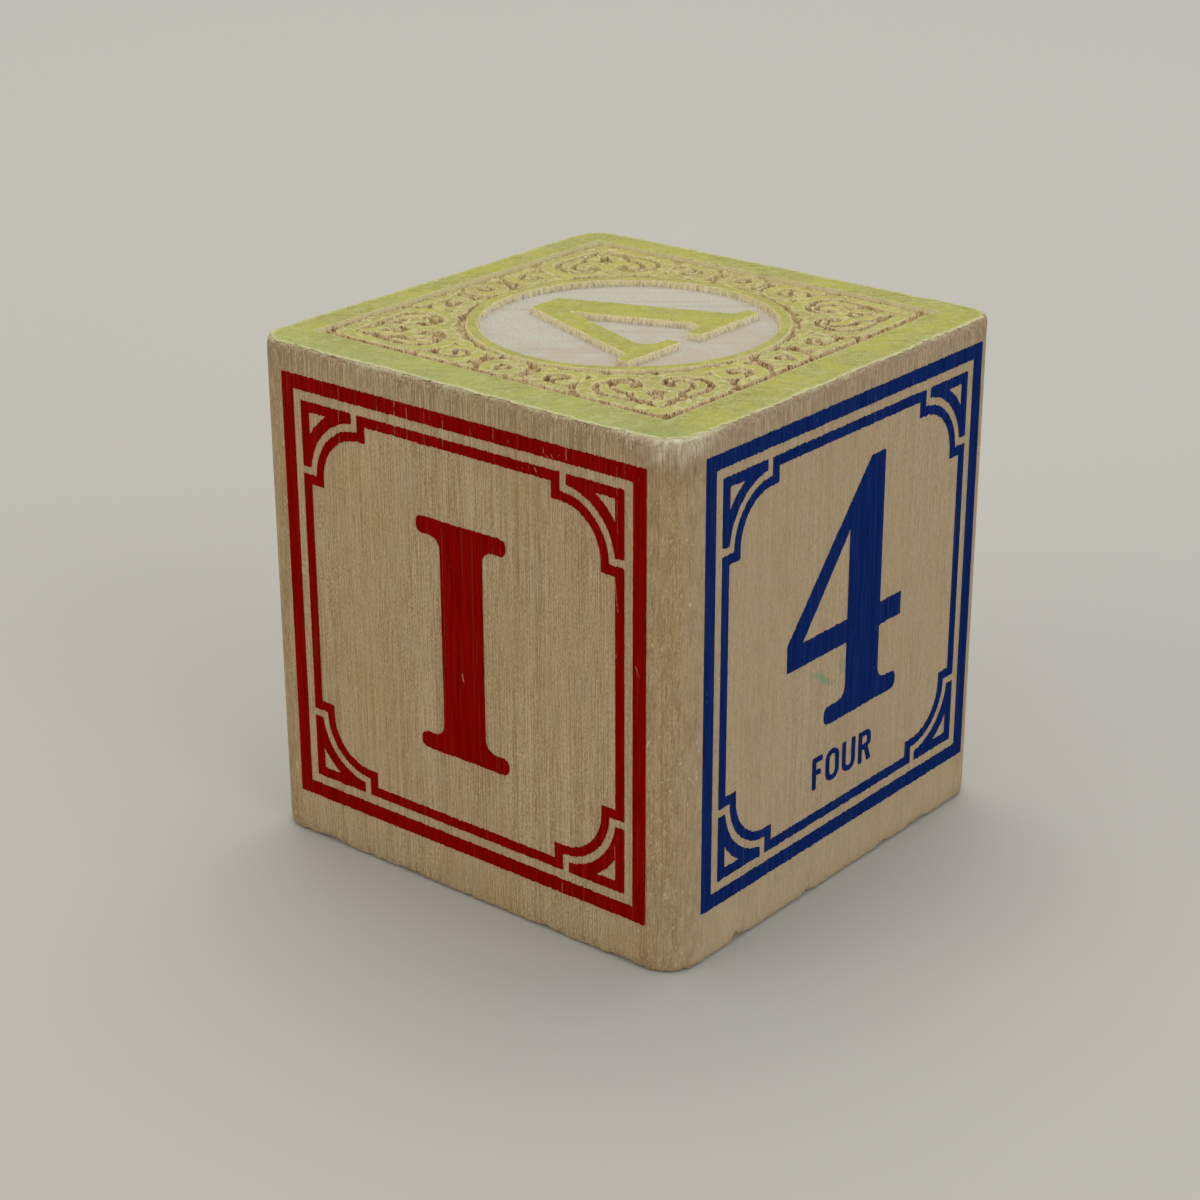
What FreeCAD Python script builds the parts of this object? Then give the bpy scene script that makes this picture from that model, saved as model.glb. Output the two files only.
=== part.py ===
"""Wooden alphabet block: one piece of basswood with long grain upright, printed on its four
sides and pressed with a relief die at both ends, whose raised parts carry a coat of paint."""
import FreeCAD
import Part
import math
import os
import Sketcher

doc = FreeCAD.newDocument("alphabet_block")

# Driving dimensions, in millimetres
driving = {
    "block_side": 44.45,             # the cube's side, without ink
    "long_edge_radius": 3.2,         # rounding of the four upright edges
    "arris_width": 0.35,             # bevel that breaks the edges round both ends
    "ink_thickness": 0.05,           # thickness of ink and paint
    "print_margin_width": 3.18,      # bare wood round a print that sits centred
    "band_width": 1.25,              # outer band of the printed frame
    "band_gap_width": 0.85,
    "line_width": 0.87,              # inner line of the printed frame
    "corner_inset_length": 6.3,      # from the line's outer corner in to the corner arc's centre
    "strip_radius": 4.03,            # inside radius of the curved strip at a corner
    "strip_width": 0.77,
    "step_length": 0.83,             # straight shoulder each side of the curved strip
    "fan_gap_width": 0.66,           # between the line and the corner fan
    "fan_bar_width": 0.98,           # curved bar of the fan
    "fan_leg_width": 0.87,           # straight bars of the fan
    "front_offset_across": 0.33,     # how far the front print sits off centre
    "front_offset_up": 0.88,
    "right_offset_across": 0.28,
    "right_offset_up": 1.31,
    "back_offset_across": 0.2,
    "back_offset_up": 0.6,
    "left_offset_across": 0.15,
    "left_offset_up": 0.9,
    "capital_height": 20.4,          # the slab-serifed capitals
    "capital_serif_thickness": 1.45,
    "capital_stem_width": 4.5,
    "serif_length": 2.5,             # serif beyond the stem on each side
    "serif_tip_radius": 0.6,
    "bracket_radius": 1.1,           # curve between a stem and its serif
    "capital_offset_across": 0.33,   # off the centre of its frame
    "capital_offset_down": 0.2,
    "tee_arm_length": 5.4,           # arm beyond the stem on each side
    "tee_drop_length": 4.0,          # serif hanging from the end of an arm
    "tee_drop_width": 1.2,
    "numeral_height": 22.0,
    "numeral_left_length": 8.34,     # from stem's left edge to the tip of the diagonal
    "numeral_stem_width": 4.72,
    "numeral_top_width": 1.94,       # flat top of the stem
    "numeral_spur_length": 3.12,     # crossbar beyond the stem
    "numeral_bar_thickness": 2.03,
    "numeral_bar_height": 7.59,      # foot of the numeral to the crossbar's centre line
    "numeral_nose_height": 2.41,     # upright end of the diagonal
    "numeral_counter_height": 7.88,  # height of the triangular hole
    "numeral_counter_width": 6.3,
    "numeral_foot_width": 10.38,
    "numeral_foot_left_length": 2.94,  # foot beyond the stem on the left
    "numeral_serif_thickness": 1.62,
    "numeral_stem_offset": 0.22,     # stem's left edge, right of the frame's centre
    "numeral_foot_depth": 8.62,      # foot of the numeral below the frame's centre
    "star_points": 5,
    "star_radius": 11.0,
    "star_waist_radius": 4.2,        # centre to the star's inner corners
    "relief_depth": 0.62,            # how deep the die sinks the ground
    "border_width": 3.775,           # raised border round the pressed square, where it is centred
    "die_offset_across": 0.55,       # how far the die lands off centre
    "die_offset_down": 0.65,
    "ring_radius": 13.6,             # radius of the raised ring
    "ring_width": 1.0,
    "vee_height": 16.16,             # the capital V inside the ring
    "vee_thick_width": 3.9,          # stroke widths, measured level
    "vee_thin_width": 2.37,
    "vee_serif_thickness": 1.35,
    "vee_apex_width": 3.6,
    "vee_apex_offset": 0.2,          # apex off the line through the ring's centre
    "vee_apex_depth": 9.07,          # apex below the ring's centre
    "vee_left_spread_width": 6.2,    # how far the thick stroke leans out over its height
    "vee_right_spread_width": 5.9,
    "vee_serif_outer_length": 1.4,   # serif outside a stroke
    "vee_serif_inner_length": 2.95,  # serif inside a stroke
    "vee_bracket_radius": 1.3,
    "scroll_wall_gap_width": 0.8,    # bare groove between the scrollwork and the border
    "heart_stroke_width": 1.1,
    "heart_length": 5.6,             # run of the heart's side from its point to the lobe
    "heart_lean_angle": 10.0,        # degrees
    "heart_lobe_radius": 3.0,        # radius of a heart's lobe, on the stroke's centre line
    "heart_lobe_angle": 205.0,       # degrees
    "side_stroke_width": 0.95,
    "side_scroll_radius": 1.72,      # radius of the scrolls between the hearts
    "side_scroll_angle": 215.0,      # degrees
    "side_scroll_offset": 5.0,       # from the middle of a side to the scroll's centre
    "side_tail_length": 2.0,         # tail towards the heart
    "side_tail_angle": 8.0,          # degrees
}

sizes = doc.addObject("Spreadsheet::Sheet", "sizes")
for row, (name, number) in enumerate(driving.items(), start=1):
    sizes.set("A%d" % row, name)
    sizes.set("B%d" % row, str(number))
    sizes.setAlias("B%d" % row, name)

# Places that the outlines share, worked out from the driving dimensions
worked_out = {
    "half_side": "sizes.block_side / 2",
    "band_outer": "sizes.block_side / 2 - sizes.print_margin_width",
    "band_inner": "band_outer - sizes.band_width",
    "line_outer": "band_inner - sizes.band_gap_width",
    "line_inner": "line_outer - sizes.line_width",
    "arc_centre": "line_outer - sizes.corner_inset_length",
    "strip_inner_radius": "sizes.strip_radius",
    "strip_near": "arc_centre + strip_inner_radius",
    "strip_outer_radius": "strip_inner_radius + sizes.strip_width",
    "strip_far": "arc_centre + strip_outer_radius",
    "step_end": "arc_centre - sizes.step_length",
    "fan_end": "arc_centre + sizes.fan_gap_width",
    "fan_inner_radius": "strip_outer_radius + sizes.fan_gap_width",
    "fan_tip": "arc_centre + sqrt(fan_inner_radius ^ 2 - sizes.fan_gap_width ^ 2)",
    "fan_hole_radius": "fan_inner_radius + sizes.fan_bar_width",
    "fan_hole_side": "line_outer - sizes.fan_leg_width",
    "fan_hole_end": "arc_centre + sqrt(fan_hole_radius ^ 2 - (fan_hole_side - arc_centre) ^ 2)",
    "capital_half": "sizes.capital_height / 2",
    "serif_inner": "capital_half - sizes.capital_serif_thickness",
    "stem_half": "sizes.capital_stem_width / 2",
    "serif_half": "stem_half + sizes.serif_length",
    "tee_half": "stem_half + sizes.tee_arm_length",
    "tee_drop_in": "tee_half - sizes.tee_drop_width",
    "tee_drop_low": "capital_half - sizes.tee_drop_length",
    "num_foot": "-sizes.numeral_foot_depth",
    "num_foot_top": "num_foot + sizes.numeral_serif_thickness",
    "num_top": "num_foot + sizes.numeral_height",
    "num_bar_top": "num_foot + sizes.numeral_bar_height + sizes.numeral_bar_thickness / 2",
    "num_bar_low": "num_foot + sizes.numeral_bar_height - sizes.numeral_bar_thickness / 2",
    "num_nose_top": "num_bar_low + sizes.numeral_nose_height",
    "num_stem_left": "sizes.numeral_stem_offset",
    "num_stem_right": "num_stem_left + sizes.numeral_stem_width",
    "num_top_left": "num_stem_right - sizes.numeral_top_width",
    "num_tip": "num_stem_left - sizes.numeral_left_length",
    "num_spur": "num_stem_right + sizes.numeral_spur_length",
    "num_foot_left": "num_stem_left - sizes.numeral_foot_left_length",
    "num_foot_right": "num_foot_left + sizes.numeral_foot_width",
    "num_hole_top": "num_bar_top + sizes.numeral_counter_height",
    "num_hole_left": "num_stem_left - sizes.numeral_counter_width",
    "star_half_ray": "180 / sizes.star_points",
    "star_side": "sizes.star_waist_radius * sin(star_half_ray)",
    "star_shoulder": "sizes.star_waist_radius * cos(star_half_ray)",
    "star_tip": "sizes.star_radius",
    "face_middle": "0",
    "window_half": "half_side - sizes.border_width",
    "window_left": "-sizes.die_offset_across - window_half",
    "window_right": "-sizes.die_offset_across + window_half",
    "window_low": "-sizes.die_offset_down - window_half",
    "window_high": "-sizes.die_offset_down + window_half",
    "land_outer": "half_side - sizes.arris_width",
    "land_corner": "sizes.long_edge_radius - sizes.arris_width",
    "ring_outside": "sizes.ring_radius",
    "ring_inside": "sizes.ring_radius - sizes.ring_width",
    "vee_low": "-sizes.vee_apex_depth",
    "vee_high": "vee_low + sizes.vee_height",
    "vee_ledge": "vee_high - sizes.vee_serif_thickness",
    "vee_rise": "(sizes.vee_height - sizes.vee_serif_thickness) / sizes.vee_height",
    "vee_apex_l": "sizes.vee_apex_offset - sizes.vee_apex_width / 2",
    "vee_apex_r": "vee_apex_l + sizes.vee_apex_width",
    "vee_left_out": "vee_apex_l - sizes.vee_left_spread_width * vee_rise",
    "vee_left_in": "vee_left_out + sizes.vee_thick_width",
    "vee_right_out": "vee_apex_r + sizes.vee_right_spread_width * vee_rise",
    "vee_right_in": "vee_right_out - sizes.vee_thin_width",
    "vee_left_lean": "sizes.vee_left_spread_width / sizes.vee_height",
    "vee_right_lean": "sizes.vee_right_spread_width / sizes.vee_height",
    "vee_crotch_drop": "(vee_right_in - vee_left_in) / (vee_left_lean + vee_right_lean)",
    "vee_crotch_v": "vee_ledge - vee_crotch_drop",
    "vee_crotch_u": "vee_left_in + vee_left_lean * vee_crotch_drop",
    "vee_left_tip": "vee_left_out - sizes.vee_serif_outer_length",
    "vee_left_end": "vee_left_in + sizes.vee_serif_inner_length",
    "vee_right_tip": "vee_right_out + sizes.vee_serif_outer_length",
    "vee_right_end": "vee_right_in - sizes.vee_serif_inner_length",
}

places = doc.addObject("Spreadsheet::Sheet", "places")
for row, (name, formula) in enumerate(worked_out.items(), start=1):
    places.set("A%d" % row, name)
    places.set("B%d" % row, "=" + formula)
    places.setAlias("B%d" % row, name)
doc.recompute()


def size(name):
    return float(sizes.get(name))


def negated(place):
    return place[1:] if place.startswith("-") else "-" + place


def bound(place):
    """The expression for a place, which may carry a minus sign."""
    return "-places." + place[1:] if place.startswith("-") else "places." + place


def where(place):
    value = places.get(place.lstrip("-"))
    value = float(getattr(value, "Value", value))
    return -value if place.startswith("-") else value


def base_plane(body, role):
    for feature in body.Origin.OriginFeatures:
        if feature.Role == role:
            return feature


def plan_sketch(body, name):
    sketch = body.newObject("Sketcher::SketchObject", name)
    sketch.AttachmentSupport = [(base_plane(body, "XY_Plane"), "")]
    sketch.MapMode = "FlatFace"
    return sketch


def bind(sketch, constraint, expression):
    sketch.setExpression("Constraints[%d]" % constraint, expression)


def fix_corner(sketch, geometry, end, corner):
    for kind, place in zip(("DistanceX", "DistanceY"), corner):
        index = sketch.addConstraint(
            Sketcher.Constraint(kind, -1, 1, geometry, end, where(place)))
        bind(sketch, index, bound(place))


def draw_loop(sketch, corners, arcs=None):
    """A closed outline. arcs maps the number of a side to its centre and radius."""
    arcs = arcs or {}
    first = sketch.GeometryCount
    ends = []
    for number, corner in enumerate(corners):
        start = FreeCAD.Vector(where(corner[0]), where(corner[1]), 0)
        after = corners[(number + 1) % len(corners)]
        stop = FreeCAD.Vector(where(after[0]), where(after[1]), 0)
        if number in arcs:
            centre, radius = arcs[number]
            middle = FreeCAD.Vector(where(centre[0]), where(centre[1]), 0)
            circle = Part.Circle(middle, FreeCAD.Vector(0, 0, 1), where(radius))
            angles = [math.atan2(p.y - middle.y, p.x - middle.x) for p in (start, stop)]
            turn = (angles[1] - angles[0]) % (2 * math.pi)
            forward = turn < math.pi
            arc = Part.ArcOfCircle(circle, *(angles if forward else angles[::-1]))
            sketch.addGeometry(arc, False)
            ends.append((1, 2) if forward else (2, 1))
        else:
            sketch.addGeometry(Part.LineSegment(start, stop), False)
            ends.append((1, 2))
    count = len(corners)
    for number, corner in enumerate(corners):
        ahead = (number + 1) % count
        sketch.addConstraint(Sketcher.Constraint(
            "Coincident", first + number, ends[number][1], first + ahead, ends[ahead][0]))
        fix_corner(sketch, first + number, ends[number][0], corner)
    for number, (centre, radius) in arcs.items():
        index = sketch.addConstraint(
            Sketcher.Constraint("Radius", first + number, where(radius)))
        bind(sketch, index, bound(radius))


def quarter_turns(corners):
    """The same corners at all four corners of a square, clockwise."""
    turned = []
    for turn in range(4):
        turned += corners
        corners = [(v, negated(u)) for u, v in corners]
    return turned


def draw_square(sketch, half):
    draw_loop(sketch, quarter_turns([(half, half)]))


def pad(body, sketch, length):
    feature = body.newObject("PartDesign::Pad", body.Name + "_pad")
    feature.Profile = sketch
    feature.setExpression("Length", length)
    return feature


def upright_edges(shape, corners, reach=0.01):
    """Names of the upright edges that stand at the given corners."""
    names = []
    for number, edge in enumerate(shape.Edges, start=1):
        ends = [v.Point for v in edge.Vertexes]
        if len(ends) < 2 or abs(ends[0].z - ends[1].z) < 1e-6:
            continue
        for u, v in corners:
            if math.hypot(ends[0].x - where(u), ends[0].y - where(v)) < reach:
                names.append("Edge%d" % number)
    return names


def round_corners(body, corners, radius, name):
    doc.recompute()
    base = body.Tip
    fillet = body.newObject("PartDesign::Fillet", body.Name + "_" + name)
    fillet.Base = (base, upright_edges(base.Shape, corners))
    fillet.setExpression("Radius", radius)


# Where each face lies: its turn, the expressions for its middle, and the axis along which
# a piece moves to its right. In a face's own frame the third axis points outwards.
ORIGIN = FreeCAD.Vector(0, 0, 0)
X_AXIS = FreeCAD.Vector(1, 0, 0)
Y_AXIS = FreeCAD.Vector(0, 1, 0)
Z_AXIS = FreeCAD.Vector(0, 0, 1)
standing = FreeCAD.Rotation(X_AXIS, 90)
half_up = "sizes.ink_thickness + sizes.block_side / 2"
end_up = "sizes.ink_thickness + sizes.block_side"
faces = {
    "front": (standing,
              {"x": "sizes.front_offset_across", "y": "-places.half_side",
               "z": half_up + " + sizes.front_offset_up"}, ("x", " + ")),
    "right": (FreeCAD.Rotation(Z_AXIS, 90) * standing,
              {"x": "places.half_side", "y": "sizes.right_offset_across",
               "z": half_up + " + sizes.right_offset_up"}, ("y", " + ")),
    "back": (FreeCAD.Rotation(Z_AXIS, 180) * standing,
             {"x": "-sizes.back_offset_across", "y": "places.half_side",
              "z": half_up + " + sizes.back_offset_up"}, ("x", " - ")),
    "left": (FreeCAD.Rotation(Z_AXIS, 270) * standing,
             {"x": "-places.half_side", "y": "-sizes.left_offset_across",
              "z": half_up + " + sizes.left_offset_up"}, ("y", " - ")),
    "top": (FreeCAD.Rotation(Z_AXIS, -90),
            {"x": "-sizes.die_offset_down", "y": "sizes.die_offset_across", "z": end_up}, None),
    "bottom": (FreeCAD.Rotation(X_AXIS, 180) * FreeCAD.Rotation(Z_AXIS, -90),
               {"x": "-sizes.die_offset_down", "y": "-sizes.die_offset_across",
                "z": "sizes.ink_thickness"}, None),
}
sinking = {"top": {"z": " - sizes.relief_depth"}, "bottom": {"z": " + sizes.relief_depth"}}
film = "sizes.ink_thickness"
relief = "sizes.relief_depth + sizes.ink_thickness"
pieces = []


def place_on(piece, face, extra=None, centred=False):
    """Puts a piece on a face. extra adds to an axis; centred leaves out the die's shift."""
    piece.Placement = FreeCAD.Placement(ORIGIN, faces[face][0])
    for axis, expression in faces[face][1].items():
        if axis == "z" or not centred:
            added = (extra or {}).get(axis, "")
            piece.setExpression("Placement.Base." + axis, expression + added)


def drawn_pad(label, draw, length):
    body = doc.addObject("PartDesign::Body", label)
    body.Label = label
    sketch = plan_sketch(body, label + "_outline")
    draw(sketch)
    pad(body, sketch, length)
    return body


# The printed frame


def draw_band(sketch):
    draw_square(sketch, "band_outer")
    draw_square(sketch, "band_inner")


def draw_line(sketch):
    c = "arc_centre"
    outer = [(c, "line_outer"), (c, "strip_far"), ("strip_far", c), ("line_outer", c)]
    inner = [("step_end", "line_inner"), ("step_end", "strip_near"), (c, "strip_near"),
             ("strip_near", c), ("strip_near", "step_end"), ("line_inner", "step_end")]
    outer_arcs = {}
    inner_arcs = {}
    centre = (c, c)
    for turn in range(4):
        outer_arcs[len(outer) * turn + 1] = (centre, "strip_outer_radius")
        inner_arcs[len(inner) * turn + 2] = (centre, "strip_inner_radius")
        centre = (centre[1], negated(centre[0]))
    draw_loop(sketch, quarter_turns(outer), outer_arcs)
    draw_loop(sketch, quarter_turns(inner), inner_arcs)


def draw_fans(sketch):
    outline = [("fan_end", "line_outer"), ("line_outer", "line_outer"),
               ("line_outer", "fan_end"), ("fan_tip", "fan_end"), ("fan_end", "fan_tip")]
    hole = [("fan_hole_end", "fan_hole_side"), ("fan_hole_side", "fan_hole_side"),
            ("fan_hole_side", "fan_hole_end")]
    centre = ("arc_centre", "arc_centre")
    for turn in range(4):
        draw_loop(sketch, outline, {3: (centre, "fan_inner_radius")})
        draw_loop(sketch, hole, {2: (centre, "fan_hole_radius")})
        outline = [(v, negated(u)) for u, v in outline]
        hole = [(v, negated(u)) for u, v in hole]
        centre = (centre[1], negated(centre[0]))


# The printed symbols


def mirrored_loop(right_side):
    """A closed outline from its right half, which runs from the top to the foot."""
    return right_side + [(negated(u), v) for u, v in reversed(right_side)]


def both_sides(corners):
    return corners + [(negated(u), v) for u, v in corners]


foot_profile = [("stem_half", "-serif_inner"), ("serif_half", "-serif_inner"),
                ("serif_half", "-capital_half")]
foot_corners = both_sides(foot_profile[:1])
foot_tips = both_sides(foot_profile[1:])


def capital_i(label):
    head = [("serif_half", "capital_half"), ("serif_half", "serif_inner"),
            ("stem_half", "serif_inner")]
    body = drawn_pad(label, lambda sketch: draw_loop(
        sketch, mirrored_loop(head + foot_profile)), film)
    round_corners(body, foot_corners + both_sides(head[2:]), "sizes.bracket_radius", "brackets")
    round_corners(body, foot_tips + both_sides(head[:2]), "sizes.serif_tip_radius", "tips")
    return body


def capital_t(label):
    arm = [("tee_half", "capital_half"), ("tee_half", "tee_drop_low"),
           ("tee_drop_in", "tee_drop_low"), ("tee_drop_in", "serif_inner"),
           ("stem_half", "serif_inner")]
    body = drawn_pad(label, lambda sketch: draw_loop(
        sketch, mirrored_loop(arm + foot_profile)), film)
    round_corners(body, foot_corners + both_sides(arm[3:]), "sizes.bracket_radius", "brackets")
    return body


def draw_four(sketch):
    draw_loop(sketch, [
        ("num_top_left", "num_top"), ("num_stem_right", "num_top"),
        ("num_stem_right", "num_bar_top"), ("num_spur", "num_bar_top"),
        ("num_spur", "num_bar_low"), ("num_stem_right", "num_bar_low"),
        ("num_stem_right", "num_foot_top"), ("num_foot_right", "num_foot_top"),
        ("num_foot_right", "num_foot"), ("num_foot_left", "num_foot"),
        ("num_foot_left", "num_foot_top"), ("num_stem_left", "num_foot_top"),
        ("num_stem_left", "num_bar_low"), ("num_tip", "num_bar_low"),
        ("num_tip", "num_nose_top")])
    draw_loop(sketch, [("num_stem_left", "num_hole_top"), ("num_stem_left", "num_bar_top"),
                       ("num_hole_left", "num_bar_top")])


def numeral_four(label):
    body = drawn_pad(label, draw_four, film)
    corners = [(stem, "num_foot_top") for stem in ("num_stem_left", "num_stem_right")]
    tips = [(side, level) for side in ("num_foot_left", "num_foot_right")
            for level in ("num_foot", "num_foot_top")]
    round_corners(body, corners, "sizes.bracket_radius", "brackets")
    round_corners(body, tips, "sizes.serif_tip_radius", "tips")
    return body


def draw_ray(sketch):
    draw_loop(sketch, [("face_middle", "face_middle"), ("star_side", "star_shoulder"),
                       ("face_middle", "star_tip"), ("-star_side", "star_shoulder")])


def star(label):
    body = drawn_pad(label, draw_ray, film)
    doc.recompute()
    ray = body.Tip
    rays = body.newObject("PartDesign::PolarPattern", label + "_rays")
    rays.Originals = [ray]
    rays.Axis = (base_plane(body, "Z_Axis"), [""])
    rays.Angle = 360
    rays.setExpression("Occurrences", "sizes.star_points")
    body.Tip = rays
    return body


def capital_shift(face):
    axis, sign = faces[face][2]
    return {axis: sign + "sizes.capital_offset_across", "z": " - sizes.capital_offset_down"}


printed = {
    "front": ("letter", capital_i, capital_shift("front")),
    "right": ("numeral", numeral_four, None),
    "back": ("star", star, None),
    "left": ("letter", capital_t, capital_shift("left")),
}
for face, (symbol, make_symbol, shift) in printed.items():
    for name, draw in (("frame_band", draw_band), ("frame_line", draw_line),
                       ("corner_fans", draw_fans)):
        piece = drawn_pad(face + "_" + name, draw, film)
        place_on(piece, face)
        pieces.append(piece)
    piece = make_symbol(face + "_" + symbol)
    place_on(piece, face, shift)
    pieces.append(piece)


# The pressed ends: outlines that the raised wood and its coat of paint share


def draw_window(sketch):
    draw_square(sketch, "window_half")


def draw_ring(sketch):
    for radius in ("ring_outside", "ring_inside"):
        number = sketch.addGeometry(Part.Circle(ORIGIN, Z_AXIS, where(radius)), False)
        sketch.addConstraint(Sketcher.Constraint("Coincident", number, 3, -1, 1))
        held = sketch.addConstraint(Sketcher.Constraint("Radius", number, where(radius)))
        bind(sketch, held, bound(radius))


def draw_vee(sketch):
    draw_loop(sketch, [
        ("vee_left_tip", "vee_high"), ("vee_left_end", "vee_high"),
        ("vee_left_end", "vee_ledge"), ("vee_left_in", "vee_ledge"),
        ("vee_crotch_u", "vee_crotch_v"), ("vee_right_in", "vee_ledge"),
        ("vee_right_end", "vee_ledge"), ("vee_right_end", "vee_high"),
        ("vee_right_tip", "vee_high"), ("vee_right_tip", "vee_ledge"),
        ("vee_right_out", "vee_ledge"), ("vee_apex_r", "vee_low"),
        ("vee_apex_l", "vee_low"), ("vee_left_out", "vee_ledge"),
        ("vee_left_tip", "vee_ledge")])


def draw_land(sketch):
    draw_square(sketch, "land_outer")
    draw_loop(sketch, [("window_left", "window_high"), ("window_right", "window_high"),
                       ("window_right", "window_low"), ("window_left", "window_low")])


def ring(label, length):
    return drawn_pad(label, draw_ring, length)


def vee(label, length):
    body = drawn_pad(label, draw_vee, length)
    corners = [(stroke_side, "vee_ledge") for stroke_side in
               ("vee_left_out", "vee_left_in", "vee_right_in", "vee_right_out")]
    round_corners(body, corners, "sizes.vee_bracket_radius", "brackets")
    return body


def land(label, length):
    body = drawn_pad(label, draw_land, length)
    round_corners(body, quarter_turns([("land_outer", "land_outer")]),
                  "places.land_corner", "corners")
    return body


# The scrollwork. A stroke is a run of tangent arcs, cut square at its ends. Its points are
# given from the window's corner or the middle of its side, inwards first, then along the border.


def on_circle(centre, radius, angle):
    return centre + FreeCAD.Vector(math.cos(angle), math.sin(angle), 0) * radius


def stroke(start, heading, bends, width):
    """bends holds (radius, degrees) pairs; a positive turn is to the left."""
    angle = math.radians(heading)
    point = FreeCAD.Vector(start[0], start[1], 0)
    near_rims = []
    far_rims = []
    for radius, degrees in bends:
        turn = math.radians(degrees)
        side = math.copysign(1, turn)
        centre = on_circle(point, side * radius, angle + math.pi / 2)
        begin = math.atan2(point.y - centre.y, point.x - centre.x)
        for rims, offset in ((near_rims, -side), (far_rims, side)):
            reach = radius + offset * width / 2
            rims.append([on_circle(centre, reach, begin + turn * step) for step in (0, 0.5, 1)])
        angle += turn
        point = on_circle(centre, radius, begin + turn)
    edges = [Part.Arc(*rim).toShape() for rim in near_rims]
    edges.append(Part.LineSegment(near_rims[-1][2], far_rims[-1][2]).toShape())
    edges += [Part.Arc(*reversed(rim)).toShape() for rim in reversed(far_rims)]
    edges.append(Part.LineSegment(far_rims[0][0], near_rims[0][0]).toShape())
    return Part.Face(Part.Wire(edges))


def raised_pair(outline, mirror_normal, length):
    """A stroke and its mirror image, raised to a length and joined where they meet."""
    lift = FreeCAD.Vector(0, 0, length)
    twin = outline.mirror(ORIGIN, mirror_normal)
    return outline.extrude(lift).fuse(twin.extrude(lift)).removeSplitter()


def at_each_side(shape, along):
    """Moves inward-and-along places into the window's own frame, at all four sides."""
    shape.rotate(ORIGIN, Z_AXIS, 180)
    shape.translate(FreeCAD.Vector(where("window_half"), along, 0))
    turned = []
    for turn in range(4):
        copy = shape.copy()
        copy.rotate(ORIGIN, Z_AXIS, 90 * turn)
        turned += copy.Solids
    return Part.makeCompound(turned)


def hearts(length):
    """A heart of two scrolls in each corner, its point outwards."""
    lean = math.radians(size("heart_lean_angle"))
    side_radius = size("heart_length") / lean
    point = (size("scroll_wall_gap_width") + size("heart_stroke_width") / 2
             + side_radius * (1 - math.cos(lean)))
    half_heart = stroke((point, point), 90 + size("heart_lean_angle"),
                        [(side_radius, -size("heart_lean_angle")),
                         (size("heart_lobe_radius"), -size("heart_lobe_angle"))],
                        size("heart_stroke_width"))
    diagonal = FreeCAD.Vector(1, -1, 0)
    return at_each_side(raised_pair(half_heart, diagonal, length), where("window_half"))


def side_scrolls(length):
    """Two scrolls on each side, their tails towards the hearts."""
    near = size("scroll_wall_gap_width") + size("side_stroke_width") / 2
    lean = math.radians(size("side_tail_angle"))
    tail_radius = size("side_tail_length") / math.sin(lean)
    start = (near - tail_radius * (1 - math.cos(lean)),
             size("side_scroll_offset") + size("side_tail_length"))
    scroll = stroke(start, size("side_tail_angle") - 90,
                    [(tail_radius, -size("side_tail_angle")),
                     (size("side_scroll_radius"), size("side_scroll_angle"))], size("side_stroke_width"))
    return at_each_side(raised_pair(scroll, Y_AXIS, length), 0)


def carved(label, make):
    """Scrollwork as tall as the relief is deep, and a little over."""
    piece = doc.addObject("Part::Feature", label)
    piece.Shape = make(size("relief_depth") + size("ink_thickness"))
    return piece


# The wood: a cube with rounded edges, pressed at both ends


def draw_blank(sketch):
    draw_square(sketch, "half_side")


def wood_blank():
    body = drawn_pad("blank", draw_blank, "sizes.block_side")
    body.setExpression("Placement.Base.z", "sizes.ink_thickness")
    round_corners(body, quarter_turns([("half_side", "half_side")]),
                  "sizes.long_edge_radius", "long_edges")
    doc.recompute()
    rounded = body.Tip
    rims = []
    for number, edge in enumerate(rounded.Shape.Edges, start=1):
        heights = [vertex.Point.z for vertex in edge.Vertexes]
        if max(heights) - min(heights) < size("arris_width"):
            rims.append("Edge%d" % number)
    arris = body.newObject("PartDesign::Chamfer", "blank_arris")
    arris.Base = (rounded, rims)
    arris.setExpression("Size", "sizes.arris_width")
    return body


def press(wood, end, scrollwork):
    """Sinks the ground at one end and leaves what the die spares standing."""
    window = drawn_pad(end + "_window", draw_window, relief)
    spared = [ring(end + "_ring_wood", relief), vee(end + "_letter_wood", relief)] + scrollwork
    for item in [window] + spared:
        place_on(item, end, sinking[end])
    kept = doc.addObject("Part::MultiFuse", end + "_kept_wood")
    kept.Shapes = spared
    recess = doc.addObject("Part::Cut", end + "_recess")
    recess.Base = window
    recess.Tool = kept
    pressed = doc.addObject("Part::Cut", end + "_pressed")
    pressed.Base = wood
    pressed.Tool = recess
    return pressed


wood = press(wood_blank(), "top", [carved("hearts", hearts), carved("scrolls", side_scrolls)])
wood = press(wood, "bottom", [])
wood.Label = "wood_block"
pieces.insert(0, wood)

# The paint on what stands up at both ends
for end in ("top", "bottom"):
    border = land(end + "_border_coat", film)
    place_on(border, end, centred=True)
    pieces.append(border)
    for coat in (ring(end + "_ring_coat", film), vee(end + "_letter_coat", film)):
        place_on(coat, end)
        pieces.append(coat)

doc.recompute()

for item in doc.Objects:
    if "Invalid" in item.State or "Error" in item.State:
        raise RuntimeError("%s failed: %s" % (item.Name, item.State))
for piece in pieces:
    if piece.Shape.isNull() or not piece.Shape.isValid():
        raise RuntimeError("%s has no valid shape" % piece.Label)

os.makedirs("parts", exist_ok=True)
for piece in pieces:
    shape = piece.Shape
    shape.exportStep("parts/%s.step" % piece.Label)
    print("%-24s %2d solids %12.3f mm3" % (piece.Label, len(shape.Solids), shape.Volume))
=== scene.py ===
import math

import bmesh
import bpy
import numpy as np
from mathutils import Matrix, Vector, noise


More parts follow.
